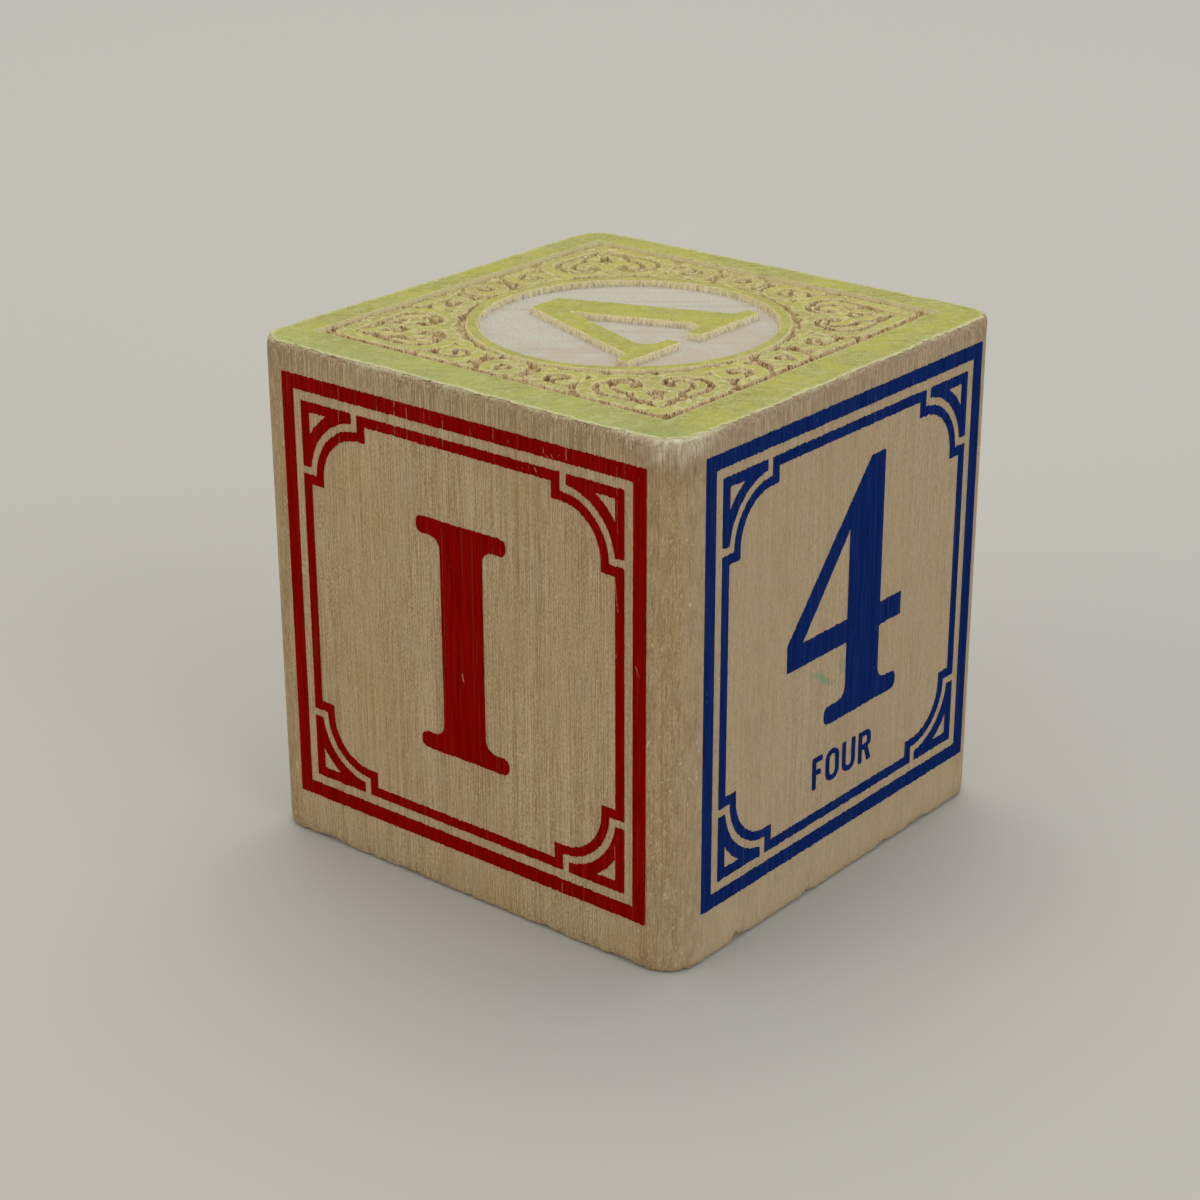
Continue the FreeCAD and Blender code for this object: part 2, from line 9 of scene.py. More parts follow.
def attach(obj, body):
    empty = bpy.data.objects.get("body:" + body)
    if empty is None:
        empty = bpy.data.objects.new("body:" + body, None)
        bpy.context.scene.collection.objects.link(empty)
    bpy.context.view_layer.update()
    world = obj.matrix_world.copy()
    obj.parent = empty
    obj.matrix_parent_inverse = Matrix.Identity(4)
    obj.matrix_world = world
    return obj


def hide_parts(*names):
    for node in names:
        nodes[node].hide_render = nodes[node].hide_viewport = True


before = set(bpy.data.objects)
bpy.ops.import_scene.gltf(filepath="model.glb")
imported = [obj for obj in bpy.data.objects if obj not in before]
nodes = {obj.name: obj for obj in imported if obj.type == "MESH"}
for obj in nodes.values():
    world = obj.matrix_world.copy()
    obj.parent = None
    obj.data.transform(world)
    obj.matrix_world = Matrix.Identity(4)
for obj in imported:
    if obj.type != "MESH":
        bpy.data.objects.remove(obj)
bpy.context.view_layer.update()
mm = 0.001
print("frame loaded:", len(nodes), "nodes")


# Shaders

class Wire:                  # a socket that adds Math nodes when it is used in a sum
    def __init__(self, finish, socket):
        self.finish = finish
        self.socket = socket

    def calc(self, operation, first, second):
        return self.finish.node("ShaderNodeMath", {"operation": operation}, {0: first, 1: second})

    def __add__(self, other):
        return self.calc("ADD", self, other)

    def __sub__(self, other):
        return self.calc("SUBTRACT", self, other)

    def __rsub__(self, other):
        return self.calc("SUBTRACT", other, self)

    def __mul__(self, other):
        return self.calc("MULTIPLY", self, other)

    __radd__ = __add__
    __rmul__ = __mul__


def linear(rgb):             # display values 0 to 255 as a linear colour
    parts = [c / 255 for c in rgb]
    return tuple(c / 12.92 if c <= 0.04045 else ((c + 0.055) / 1.055) ** 2.4 for c in parts) + (1.0,)


class Finish:                # a material that is written as sums
    def __init__(self, name):
        self.material = bpy.data.materials.new(name)
        self.material.use_nodes = True
        self.tree = self.material.node_tree
        self.tree.nodes.clear()
        self.spot = self.node("ShaderNodeTexCoord", output="Object")

    def node(self, kind, settings=None, sockets=None, output=0):
        made = self.tree.nodes.new(kind)
        for key, value in (settings or {}).items():
            setattr(made, key, value)
        for key, value in (sockets or {}).items():
            if isinstance(value, Wire):
                self.tree.links.new(value.socket, made.inputs[key])
            else:
                made.inputs[key].default_value = value
        return Wire(self, made.outputs[output]) if output is not None else made

    def cloud(self, scale, detail=2.0, rough=0.5, shift=0.0):   # scale: per millimetre along X, Y, Z
        place = self.node("ShaderNodeVectorMath", {"operation": "MULTIPLY_ADD"},
                          {0: self.spot, 1: tuple(s / mm for s in scale), 2: (shift,) * 3})
        return self.node("ShaderNodeTexNoise", None,
                         {"Vector": place, "Scale": 1.0, "Detail": detail, "Roughness": rough})

    def axis(self, name):        # a coordinate in millimetres
        return self.node("ShaderNodeSeparateXYZ", None, {0: self.spot}, output=name) * (1 / mm)

    def ramp(self, value, low, high):    # 0 up to low, 1 from high on, smooth between
        return self.node("ShaderNodeMapRange", {"interpolation_type": "SMOOTHSTEP"},
                         {"Value": value, "From Min": low, "From Max": high})

    def size(self, value):       # without its sign
        return self.node("ShaderNodeMath", {"operation": "ABSOLUTE"}, {0: value})

    def blend(self, factor, first, second):
        first = first if isinstance(first, Wire) else linear(first)
        second = second if isinstance(second, Wire) else linear(second)
        return self.node("ShaderNodeMix", {"data_type": "RGBA"}, {0: factor, 6: first, 7: second}, output=2)

    def attribute(self, name):
        return self.node("ShaderNodeAttribute", {"attribute_name": name}, output="Fac")

    def surface(self, base, rough, relief, depth, gloss):
        bump = self.node("ShaderNodeBump", None,
                         {"Strength": 1.0, "Distance": depth * mm, "Height": relief})
        shader = self.node("ShaderNodeBsdfPrincipled", None, {
            "Base Color": base, "Roughness": rough, "Specular IOR Level": gloss, "Normal": bump})
        self.node("ShaderNodeOutputMaterial", None, {"Surface": shader}, output=None)
        return self.material


woodTones = {
    "light": (186, 163, 125),
    "dark": (141, 116, 78),
    "cool": (168, 150, 120),
    "pale": (174, 150, 122),       # painted light: all over the side at the right, made paler and cooler
    "warm": (162, 132, 90),
    "pore": (116, 91, 58),
    "grained": (140, 110, 72),     # on the rounded edges
    "blotch": (126, 97, 64),       # the same, in spots
    "shaded": (126, 107, 82),      # under the top edge
    "fibre": (206, 190, 152),      # pale flakes
    "looseDark": (168, 148, 108),  # fibres that stand off the wood
    "looseLight": (208, 194, 154),
    "rubbed": (178, 170, 126),     # the ends' edges, worn through the paint
    "torn": (202, 191, 158),
    "bright": (220, 214, 192),     # the near corner's tip: pale bare wood with a painted highlight on it
    "smear": (116, 138, 104),      # green, beside the numeral
    "stain": (134, 98, 78),        # red, above the frame
}

woodMarks = {                      # places in millimetres
    "corner": (22.2, -22.2, 44.6),     # the near corner, rubbed bare
    "stain": (18.9, 43.6),             # X and Z on the front
    "slant": (-2.7, 17.7),             # Y and Z on the right side, the long part of the smear
    "touch": (-0.1, 19.7),             # and its upper end
}


def sideWood():
    f = Finish("basswood_long_grain")
    x, y, z = f.axis("X"), f.axis("Y"), f.axis("Z")
    lines = f.cloud((8.5, 8.5, 0.04), 3.0, 0.65)
    short = f.cloud((9.5, 9.5, 0.4), 2.0, 0.6, 7.3)
    specks = f.cloud((9.5, 9.5, 3.4), 2.0, 0.6, 2.2)
    bands = f.cloud((0.9, 0.9, 0.02), 2.0, 0.5, 4.1)
    mottle = f.cloud((0.55, 0.55, 0.28), 3.0, 0.6, 5.5)
    broad = f.cloud((0.10, 0.10, 0.05), 2.0, 0.5, 1.7)
    flake = f.cloud((3.0, 3.0, 1.5), 2.0, 0.6, 3.1)
    blotch = f.cloud((1.5, 1.5, 0.6), 3.0, 0.65, 6.6)
    felt = f.cloud((2.6, 2.6, 2.2), 3.0, 0.7, 9.4)
    rounding = f.ramp(f.size(x) + f.size(y), 39.0, 42.2)      # 1 on the rounded edges
    rightSide = f.ramp(x, 21.4, 22.2)
    nearTop = f.ramp(z, 40.0, 44.0)

    # grain
    tone = lines * 0.34 + short * 0.24 + specks * 0.34 + bands * 0.08
    base = f.blend(f.ramp(tone, 0.435, 0.565), woodTones["dark"], woodTones["light"])
    base = f.blend(f.ramp(broad, 0.38, 0.62) * 0.35, base, woodTones["warm"])
    base = f.blend(f.ramp(mottle, 0.45, 0.70) * 0.35, base, woodTones["cool"])
    # painted light: the side at the right is made paler and cooler, as if the window light fell on it
    base = f.blend(rightSide * 0.45, base, woodTones["pale"])
    base = f.blend(f.ramp(felt, 0.46, 0.62) * (rightSide * 0.22 + 0.10), base, woodTones["warm"])
    # painted light: the foot of the right side is lightened, standing in for light thrown back from the
    # floor
    base = f.blend(rightSide * f.ramp(z, 8.0, 1.0) * 0.35, base, woodTones["light"])
    pores = f.ramp(f.cloud((8.5, 8.5, 0.4), 2.0, 0.5, 11.0), 0.60, 0.72)
    base = f.blend(pores * (rounding * 0.25 + nearTop * 0.3 + 0.24), base, woodTones["pore"])

    # rounded edges and the strip under the top
    base = f.blend(nearTop * f.ramp(lines * 0.5 + short * 0.5, 0.60, 0.42) * 0.6, base, woodTones["shaded"])
    base = f.blend(rounding * f.ramp(lines, 0.46, 0.58) * 0.28, base, woodTones["grained"])
    spots = rounding * f.ramp(blotch, 0.46, 0.60) * (nearTop * 0.25 + 0.28)
    base = f.blend(spots, base, woodTones["blotch"])
    flakes = f.ramp(flake - rounding * 0.05, 0.60, 0.70)
    base = f.blend(flakes * (rounding * 0.6 + 0.12), base, woodTones["fibre"])

    # top edge and near corner
    edgeNoise = f.cloud((2.2, 2.2, 0.5), 3.0, 0.65, 5.0) * 0.6
    edgeNoise = edgeNoise + f.cloud((0.5, 0.5, 0.3), 2.0, 0.5, 1.2) * 1.3
    topEdge = f.ramp(z + edgeNoise, 45.22, 45.62)
    base = f.blend(topEdge * f.ramp(felt, 0.40, 0.52) * 0.8, base, woodTones["rubbed"])
    base = f.blend(topEdge * f.ramp(short, 0.52, 0.62) * 0.6, base, woodTones["torn"])
    cornerX, cornerY, cornerZ = woodMarks["corner"]
    fromCorner = f.size(x - cornerX) + f.size(y - cornerY) + (cornerZ - z) * 2.1
    worn = f.ramp(fromCorner - mottle * 4.0 - blotch * 3.0, 4.2, 0.2)
    patchy = f.ramp(short, 0.40, 0.58) * 0.4 + f.ramp(blotch, 0.42, 0.58) * 0.3 + 0.15
    base = f.blend(worn * patchy, base, woodTones["torn"])
    # pale bare wood at the near corner's tip, with a painted highlight on it
    bright = f.ramp(fromCorner - blotch * 3.0 - felt * 1.5, 0.7, -1.0)
    base = f.blend(bright * 0.75, base, woodTones["bright"])

    # stain and smear
    stainX, stainZ = woodMarks["stain"]
    stain = f.ramp(f.size(x - stainX) * 0.8 + f.size(z - stainZ) - mottle, 1.0, 0.2)
    base = f.blend(stain * f.ramp(y, -21.0, -22.0) * 0.4, base, woodTones["stain"])
    slantY, slantZ = woodMarks["slant"]
    touchY, touchZ = woodMarks["touch"]
    slant = f.ramp(f.size(y - slantY) * 0.22 + f.size(z + y * 0.62 - slantZ) * 0.8 + blotch, 1.15, 0.6)
    touch = f.ramp(f.size(y - touchY) + f.size(z - touchZ) * 0.7 + blotch, 1.5, 0.8)
    smear = (slant * 0.65 + touch * 0.45) * f.ramp(x, 21.0, 22.0)
    base = f.blend(smear * 1.15, base, woodTones["smear"])

    relief = short * 0.4 + specks * 0.3 + lines * 0.35 + pores * -0.4
    relief = relief + topEdge * flake * 0.6 + flakes * rounding * 0.5 + rounding * blotch * 0.8
    return f.surface(base, 0.62 + short * 0.2, relief, 0.045, 0.2)


endTones = {
    "rough": ((150, 119, 78), (210, 187, 139)),      # between the scrolls, dark and light
    # painted shade in the pits between the scrolls
    "deep": (112, 78, 46),
    "painted": (188, 178, 112),    # paint-coloured, toward the far corner
    "cut": ((168, 148, 112), (222, 210, 176)),       # the cut walls: pale wood, made paler still as painted light where the lamps leave them in shade
    "lip": (216, 202, 154),        # their upper edge
    "smooth": ((175, 166, 146), (194, 186, 168)),    # the ground inside the ring
    "rings": (166, 153, 130),
    "blush": (180, 160, 136),
}


def endWood():
    f = Finish("basswood_end_grain")
    speckle = f.cloud((5.5, 5.5, 0.5), 3.0, 0.6)
    fibres = f.cloud((6.5, 6.5, 0.30), 2.0, 0.6, 4.0)
    clump = f.cloud((1.3, 1.3, 0.5), 2.0, 0.5, 9.0)
    blush = f.cloud((0.35, 0.35, 0.35), 3.0, 0.6, 2.5)
    x, y = f.axis("X"), f.axis("Y")
    along, across = x * 0.77 + y * 0.63, y * 0.77 - x * 0.63       # the growth rings run aslant
    line = f.node("ShaderNodeCombineXYZ", None, {0: along * 0.05, 1: across * 1.1})
    rings = f.node("ShaderNodeTexNoise", None, {"Vector": line, "Scale": 1.0, "Detail": 3.0})
    inside = f.attribute("ground")         # 1 inside the ring, 0 outside
    wall = f.attribute("wall")             # 1 at a raised edge, or a little less, and falls off from there

    rough = f.blend(f.ramp(fibres * 0.55 + clump * 0.45, 0.38, 0.58), *endTones["rough"])
    # painted shade: the pits between the scrolls are darkened, more toward the near corner
    shadeTowardNear = f.ramp(x - y, -5.0, 28.0) * 0.5 + 0.25
    rough = f.blend(f.ramp(fibres * 0.5 + clump * 0.5, 0.46, 0.37) * shadeTowardNear, rough, endTones["deep"])
    # the ground between the scrolls turns paint-coloured toward the far corner
    rough = f.blend(f.ramp(y - x + clump * 20.0, 0.0, 40.0) * 0.65, rough, endTones["painted"])

    smooth = f.blend(f.ramp(speckle, 0.35, 0.66), *endTones["smooth"])
    smooth = f.blend(f.ramp(rings, 0.50, 0.66) * 0.35, smooth, endTones["rings"])
    smooth = f.blend(f.ramp(blush + x * 0.012 - y * 0.006, 0.42, 0.66) * 0.5, smooth, endTones["blush"])
    # painted light: the cut walls' pale wood tone is raised to light walls that face away from the lamps
    cut = f.blend(f.ramp(fibres, 0.36, 0.58), *endTones["cut"])
    smooth = f.blend(f.ramp(wall + speckle * 0.3, 0.75, 1.0), smooth, cut)

    base = f.blend(inside, rough, smooth)
    base = f.blend(f.ramp(wall + clump * 0.2 + fibres * 0.3, 0.98, 1.16) * 0.8, base, endTones["lip"])
    relief = fibres + speckle * 0.4
    return f.surface(base, 0.75, relief * (1.3 - inside), 0.07, 0.1)


marks = {                        # scratches: place along the side and height of both ends, width, strength
    "red": [
        (-12.2, 42.2, -12.35, 37.2, 0.035, 0.5), (-8.0, 42.0, -8.02, 38.6, 0.03, 0.45),
        (-6.03, 43.4, -6.1, 37.6, 0.06, 0.95), (-4.75, 42.0, -4.70, 40.9, 0.06, 0.7),
        (-4.72, 40.4, -4.74, 38.4, 0.04, 0.6), (-2.85, 42.0, -2.9, 38.2, 0.03, 0.4),
        (-2.3, 41.75, -2.15, 41.4, 0.09, 0.6), (-0.88, 42.1, -0.95, 38.4, 0.05, 0.7),
        (2.02, 41.7, 2.0, 40.6, 0.03, 0.5), (4.4, 42.2, 4.38, 41.2, 0.04, 0.6),
        (5.9, 41.6, 5.92, 41.2, 0.05, 0.5), (9.43, 41.8, 9.40, 41.1, 0.06, 0.8),
        (9.6, 41.2, 9.95, 40.95, 0.09, 0.9), (10.2, 41.4, 10.4, 41.0, 0.06, 0.8),
        (11.1, 41.55, 10.8, 41.2, 0.05, 0.6), (8.55, 40.0, 8.75, 39.5, 0.08, 0.8),
        (11.7, 42.2, 11.69, 41.1, 0.05, 0.8), (16.6, 41.8, 16.62, 36.5, 0.035, 0.35),
        (16.4, 32.6, 16.62, 30.5, 0.05, 0.8), (16.62, 30.5, 16.78, 29.7, 0.05, 0.8),
        (18.25, 26.8, 18.6, 25.4, 0.06, 0.6), (18.45, 26.2, 18.8, 25.2, 0.05, 0.6),
        (16.5, 26.7, 16.56, 26.3, 0.05, 0.7), (16.35, 10.4, 16.38, 9.0, 0.05, 0.6),
        (0.55, 20.6, 0.72, 19.7, 0.09, 0.9), (-1.35, 32.8, -1.2, 20.5, 0.03, 0.2),
        (4.1, 34.5, 4.1, 10.6, 0.025, 0.3), (4.9, 34.0, 4.85, 11.2, 0.02, 0.25),
        (10.95, 5.5, 10.9, 3.8, 0.06, 0.5)],
    "blue": [
        (-12.4, 41.9, -12.4, 40.6, 0.03, 0.4), (-6.2, 41.8, -6.2, 40.8, 0.03, 0.4),
        (3.4, 41.9, 3.42, 39.0, 0.03, 0.3), (8.8, 42.0, 8.8, 41.0, 0.03, 0.4),
        (-15.8, 16.2, -15.7, 15.7, 0.05, 0.5), (-18.4, 24.0, -18.35, 22.8, 0.04, 0.4)],
}


def scratched(f, across, z, lines):      # 1 on the scratches
    total = 0.0
    wander = f.cloud((1.1, 1.1, 0.9), 1.0, 0.5, 4.4) * 0.16 - 0.08
    broken = f.ramp(f.cloud((2.5, 2.5, 2.0), 2.0, 0.6, 3.3), 0.36, 0.52)
    fadeOut = 0.15               # how far before its end a scratch starts to fade
    for u0, z0, u1, z1, wide, strength in lines:
        middle = (z0 + z1) / 2
        lean = (u1 - u0) / (z1 - z0)
        off = f.size(across - z * lean + (wander - (u0 - z0 * lean)))
        span = f.ramp(f.size(z - middle), abs(z1 - z0) / 2, abs(z1 - z0) / 2 - fadeOut)
        total = f.ramp(off, wide, wide * 0.3) * span * strength + total
    return total * broken


inks = {                         # the axis along the side, and the deep, full and scratched tones
    "red": ("X", (112, 4, 1), (134, 9, 4), (172, 118, 92)),
    "blue": ("Y", (13, 30, 78), (20, 42, 96), (140, 142, 138)),
}


def ink(name, lines, along, deep, full, pale):
    f = Finish(name)
    streak = f.cloud((3.2, 3.2, 0.06), 3.0, 0.6)
    fine = f.cloud((7.5, 7.5, 0.3), 2.0, 0.5, 7.3)
    base = f.blend(f.ramp(streak * 0.5 + fine * 0.5, 0.36, 0.66), deep, full)
    speck = f.ramp(f.cloud((6.5, 6.5, 1.2), 2.0, 0.5, 2.0), 0.70, 0.80)
    thin = f.ramp(f.cloud((5.5, 5.5, 0.10), 2.0, 0.5, 9.0), 0.58, 0.74)
    mask = scratched(f, f.axis(along), f.axis("Z"), lines) + speck * 0.2 + thin * 0.05
    base = f.blend(mask, base, pale)
    return f.surface(base, 0.55 + fine * 0.2, fine + streak * 0.4 - mask * 0.5, 0.03, 0.0)


paints = {                       # dull and bright, rubbed and how much, worn edge and its width
    "border": ((142, 136, 66), (176, 170, 102), (184, 178, 124), 0.45, (198, 190, 146), 0.42),
    "scrollwork": ((150, 141, 78), (184, 173, 112), (198, 184, 136), 0.75, (206, 192, 134), 0.17),
    "ring": ((146, 140, 72), (174, 167, 98), (184, 177, 118), 0.55, (206, 192, 132), 0.16),
    "letter": ((149, 143, 66), (177, 171, 98), (185, 178, 114), 0.40, (206, 192, 124), 0.14),
}
paintTones = {                   # the same on all of them
    "patch": (178, 172, 74),
    "greener": (152, 158, 102),  # toward the front and the right
    "swirl": (134, 138, 74),
    "smudge": (130, 137, 78),    # at the near corner
}
smudgePlace = (19.0, -20.2)      # X and Y, in millimetres


def paint(name, dull, bright, rub, rubbing, edge, edgeWidth):
    f = Finish(name)
    x, y = f.axis("X"), f.axis("Y")
    speckle = f.cloud((6.0, 6.0, 0.6), 3.0, 0.65)
    patch = f.cloud((0.25, 0.25, 0.3), 3.0, 0.6, 3.0)
    swirl = f.cloud((1.2, 0.7, 1.0), 4.0, 0.7, 8.0)
    rubs = f.cloud((1.5, 1.5, 1.0), 3.0, 0.65, 6.0)
    grainLine = f.node("ShaderNodeCombineXYZ", None, {0: (x + y) * 0.22, 1: (x - y) * 2.4})
    brushed = f.node("ShaderNodeTexNoise", None, {"Vector": grainLine, "Scale": 1.0, "Detail": 3.0})
    rim = f.attribute("rim")               # millimetres in from the edge of the paint
    base = f.blend(f.ramp(speckle * 0.45 + swirl * 0.3 + brushed * 0.25, 0.40, 0.60), dull, bright)
    base = f.blend(f.ramp(patch, 0.44, 0.60) * 0.45, base, paintTones["patch"])
    greener = f.ramp(y * -1.0 - swirl * 6, 12.0, 19.0) + f.ramp(x + swirl * 6, 22.0, 27.0) * 0.4
    base = f.blend(greener * 0.4, base, paintTones["greener"])
    base = f.blend(f.ramp(swirl, 0.53, 0.64) * 0.45, base, paintTones["swirl"])
    smudgeX, smudgeY = smudgePlace
    smudge = f.ramp(f.size(x - smudgeX) * 0.6 + f.size(y - smudgeY) - rubs * 3, 1.6, 0.2)
    base = f.blend(smudge * f.ramp(swirl, 0.40, 0.58) * 0.4, base, paintTones["smudge"])
    base = f.blend(f.ramp(rubs, 0.50, 0.66) * rubbing, base, rub)
    worn = f.ramp(rim + (speckle + rubs - 1.0) * edgeWidth * 2.4, edgeWidth, edgeWidth * 0.2)
    base = f.blend(worn * 0.8, base, edge)
    return f.surface(base, 0.72, speckle * 0.7 + swirl * 0.5 + rubs * rubbing, 0.05, 0.05)


def paleFibre():
    f = Finish("basswood_fibre")
    tone = f.cloud((1.5, 1.5, 0.8), 2.0)
    base = f.blend(f.ramp(tone, 0.35, 0.65), woodTones["looseDark"], woodTones["looseLight"])
    return f.surface(base, 0.7, tone, 0.02, 0.1)


finishes = {"side": sideWood(), "fibre": paleFibre(), "end": endWood()}
for name, tones in inks.items():
    finishes[name] = ink(name + "_ink", marks[name], *tones)
for name, tones in paints.items():
    finishes[name] = paint(name + "_paint", *tones)
print("finishes made")


def newPiece(name, shape, finish, replaced=()):
    mesh = bpy.data.meshes.new(name)
    shape.to_mesh(mesh)
    shape.free()
    piece = bpy.data.objects.new(name, mesh)
    bpy.context.scene.collection.objects.link(piece)
    mesh.materials.append(finish)
    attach(piece, "root")
    if replaced:
        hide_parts(*replaced)
    print(name, len(mesh.polygons), "faces")


def ripple(x, y, scale, shift=0.0):      # noise over a plane, about -1 to 1
    return noise.noise(Vector((x * scale, y * scale, shift)))


def toMetres(shape):
    bmesh.ops.transform(shape, matrix=Matrix.Scale(mm, 4), verts=shape.verts[:])


def ofKind(parts, kind):
    return [part for part in parts if isinstance(part, kind)]


# The block: a cube of wood with rounded upright edges and a pocket at each end

block = {
    "side": 44.45,
    "foot": 0.05,            # underside of the wood, above the paint it stands on
    "edgeRadius": 3.2,
    "arcSteps": 28,
    "step": 0.18,            # spacing of points round the block
    "rows": range(4, 42, 5),                   # heights of the rows of points between the ends
    "arris": 0.32,           # bevel round both ends
    "lip": {"foot": 0.03, "top": 0.04},        # how far the bevel's end lies inside the block's end
    "ragged": {"foot": 0.13, "top": 0.20},     # how far the torn grain at the ends wanders
    "pocketDepth": 1.1,      # hollow under each pressed end
    "pocketMargin": 0.16,    # how much wider than the window it is
    "chips": [               # place round the foot (x, y), width and height of what broke off
        (22.2, -14.0, 0.28, 0.95), (22.2, -13.2, 0.8, 0.25), (22.2, -4.0, 1.1, 0.22),
        (22.2, 7.5, 0.7, 0.3), (22.2, 13.0, 1.4, 0.2), (-6.0, -22.2, 1.0, 0.22),
        (-15.5, -22.2, 1.4, 0.28), (9.0, -22.2, 0.7, 0.2), (17.0, -22.0, 1.2, 0.2)],
}
half = block["side"] / 2
core = half - block["edgeRadius"]      # half of the flat part of a side
woodTop = block["foot"] + block["side"]

# Pressed ends, in the die's own frame
die = {
    "windowHalf": 18.45,
    "depth": 0.62,
    "film": 0.05,
    "ringOut": 13.6,
    "ringIn": 12.6,
    "centre": {"top": (-0.65, 0.55), "bottom": (-0.65, -0.55)},
    "cells": {"top": 300, "bottom": 170},
    "reach": 18.72,          # half of the grid, a little into the border
    "skirt": 1.3,            # how far the grid's edge is folded down into the block
    "groove": 0.62,          # width of the grooves between the scrolls
    "pinch": 0.20,           # how much the grooves open and close
    "offWall": {"scrolls": 0.88, "between": 1.33},     # how far the scrolls, and what stands between
    "offRing": {"scrolls": 0.28, "between": 0.5},      # them, keep off the border and the ring
    "torn": 0.055,           # raggedness of the cut edges
    "touch": 0.02,           # a point this near to an outline is on it
    "topDrop": 0.02,         # raised wood under its paint
    "roundDrop": 0.05,       # how far a raised edge is rounded down
    "softDrop": 0.14,        # the same on the scrollwork, which is rounded over
    "softReach": 0.22,       # how far in the rounding goes there
    "softRough": 0.05,
    "ground": {              # share of the depth, unevenness, and fillet at the foot of a wall
        "inside": (1.0, 0.02, 0.10),     # the smooth ground inside the ring
        "outside": (0.94, 0.11, 0.12)},  # the torn ground between the scrolls
    "wallReach": 0.5,        # how far from a raised edge the shader still colours the ground
    "scrollWall": 0.90,      # strength of that beside a scroll
}


def insetPoint(x, y, inset):     # moves a point of the rounded square inwards
    cx, cy = max(-core, min(core, x)), max(-core, min(core, y))
    away = Vector((x - cx, y - cy))
    reach = away.length
    away = away.normalized() * (reach - inset)
    return cx + away.x, cy + away.y


def blockShape():
    shape = bmesh.new()
    bmesh.ops.create_grid(shape, x_segments=1, y_segments=1, size=half)
    bmesh.ops.bevel(shape, geom=shape.verts[:], offset=block["edgeRadius"], offset_type="OFFSET",
                    segments=block["arcSteps"], profile=0.5, affect="VERTICES", material=-1)
    straight = [e for e in shape.edges if e.calc_length() > 1]       # the arcs' edges are shorter
    bmesh.ops.subdivide_edges(shape, edges=straight, cuts=int(straight[0].calc_length() / block["step"]))
    bmesh.ops.delete(shape, geom=shape.faces[:], context="FACES_ONLY")
    base = shape.verts.layers.float_vector.new("base")
    for vert in shape.verts:
        vert[base] = vert.co
    rim = cap = shape.edges[:]

    def nextRow():               # grows a row of faces and gives the new points
        nonlocal rim
        grown = bmesh.ops.extrude_edge_only(shape, edges=rim)["geom"]
        rim = ofKind(grown, bmesh.types.BMEdge)
        return ofKind(grown, bmesh.types.BMVert)

    def chipped(x, y):
        lift = 0.0
        for cx, cy, width, height in block["chips"]:
            lift += height * math.exp(-((x - cx) ** 2 + (y - cy) ** 2) / width ** 2)
        return lift

    def placeLevel(verts, height, inset, loose):
        end = "foot" if height < half else "top"
        shift, toward = {"foot": (0, 1), "top": (9, -1)}[end]
        fray = loose * block["ragged"][end]
        for vert in verts:
            x, y = vert[base].x, vert[base].y
            grain = ripple(x, y, 3.4, shift) * 0.6 + ripple(x, y, 0.9, shift + 3) * 0.7
            lift = chipped(x, y) if end == "foot" else 0.0
            nx, ny = insetPoint(x, y, max(0.0, inset + fray * (grain + 0.2)))
            vert.co = (nx, ny, block["foot"] + height + toward * fray * max(0, grain) + lift * loose)

    def placePocket(verts, height, end):
        cx, cy = die["centre"][end]
        reach = die["windowHalf"] + block["pocketMargin"]
        for vert in verts:
            dx, dy = vert[base].x - cx, vert[base].y - cy
            scale = reach / max(abs(dx), abs(dy))
            vert.co = (cx + dx * scale, cy + dy * scale, block["foot"] + height)

    def endRows(lip):            # distance from the end, inset, and how loose the grain is
        arris = block["arris"]
        return [(lip, arris + 0.5, 0), (lip, arris, 0.7), (0.12, arris * 0.45, 1),
                (0.28, 0.1, 0.8), (0.5, 0.02, 0.4), (1.1, 0, 0)]

    side, lip, depth = block["side"], block["lip"], block["pocketDepth"]
    levels = endRows(lip["foot"]) + [(height, 0, 0) for height in block["rows"]]
    levels += [(side - height, inset, loose) for height, inset, loose in reversed(endRows(lip["top"]))]
    placePocket(shape.verts[:], depth, "bottom")
    placePocket(nextRow(), lip["foot"], "bottom")
    for level in levels:
        placeLevel(nextRow(), *level)
    placePocket(nextRow(), side - lip["top"], "top")
    placePocket(nextRow(), side - depth, "top")
    bmesh.ops.edgeloop_fill(shape, edges=cap)
    bmesh.ops.edgeloop_fill(shape, edges=rim)
    bmesh.ops.recalc_face_normals(shape, faces=shape.faces[:])
    for face in shape.faces:
        face.smooth = len(face.verts) == 4
    toMetres(shape)
    return shape


newPiece("wooden_cube", blockShape(), finishes["side"], ["wood_block"])


# The pressed ornament: lines of tangent arcs, by their distance from the window's wall and
# along it, or from both walls at a corner

def stroke(start, heading, bends, wide, tip, belly=0.0):      # bends: radius and degrees of each arc
    x, y = start
    angle = math.radians(heading)
    total = sum(radius * math.radians(abs(turn)) for radius, turn in bends)
    arcs, run = [], 0.0
    for radius, turn in bends:
        side, sweep = math.copysign(1, turn), math.radians(abs(turn))
        cx, cy = x - side * radius * math.sin(angle), y + side * radius * math.cos(angle)
        begin = math.atan2(y - cy, x - cx)
        arcs.append((cx, cy, radius, begin, side * sweep, run / total, (run + radius * sweep) / total))
        run += radius * sweep
        angle += side * sweep
        x, y = cx + radius * math.cos(begin + side * sweep), cy + radius * math.sin(begin + side * sweep)
    return arcs, wide, tip, belly


def leaf(start, heading, length, wide, bend):
    root, tip, belly = 0.35 * wide, 0.12, 0.75 * wide
    return stroke(start, heading, [(length / math.radians(abs(bend)), bend)], root, tip, belly)


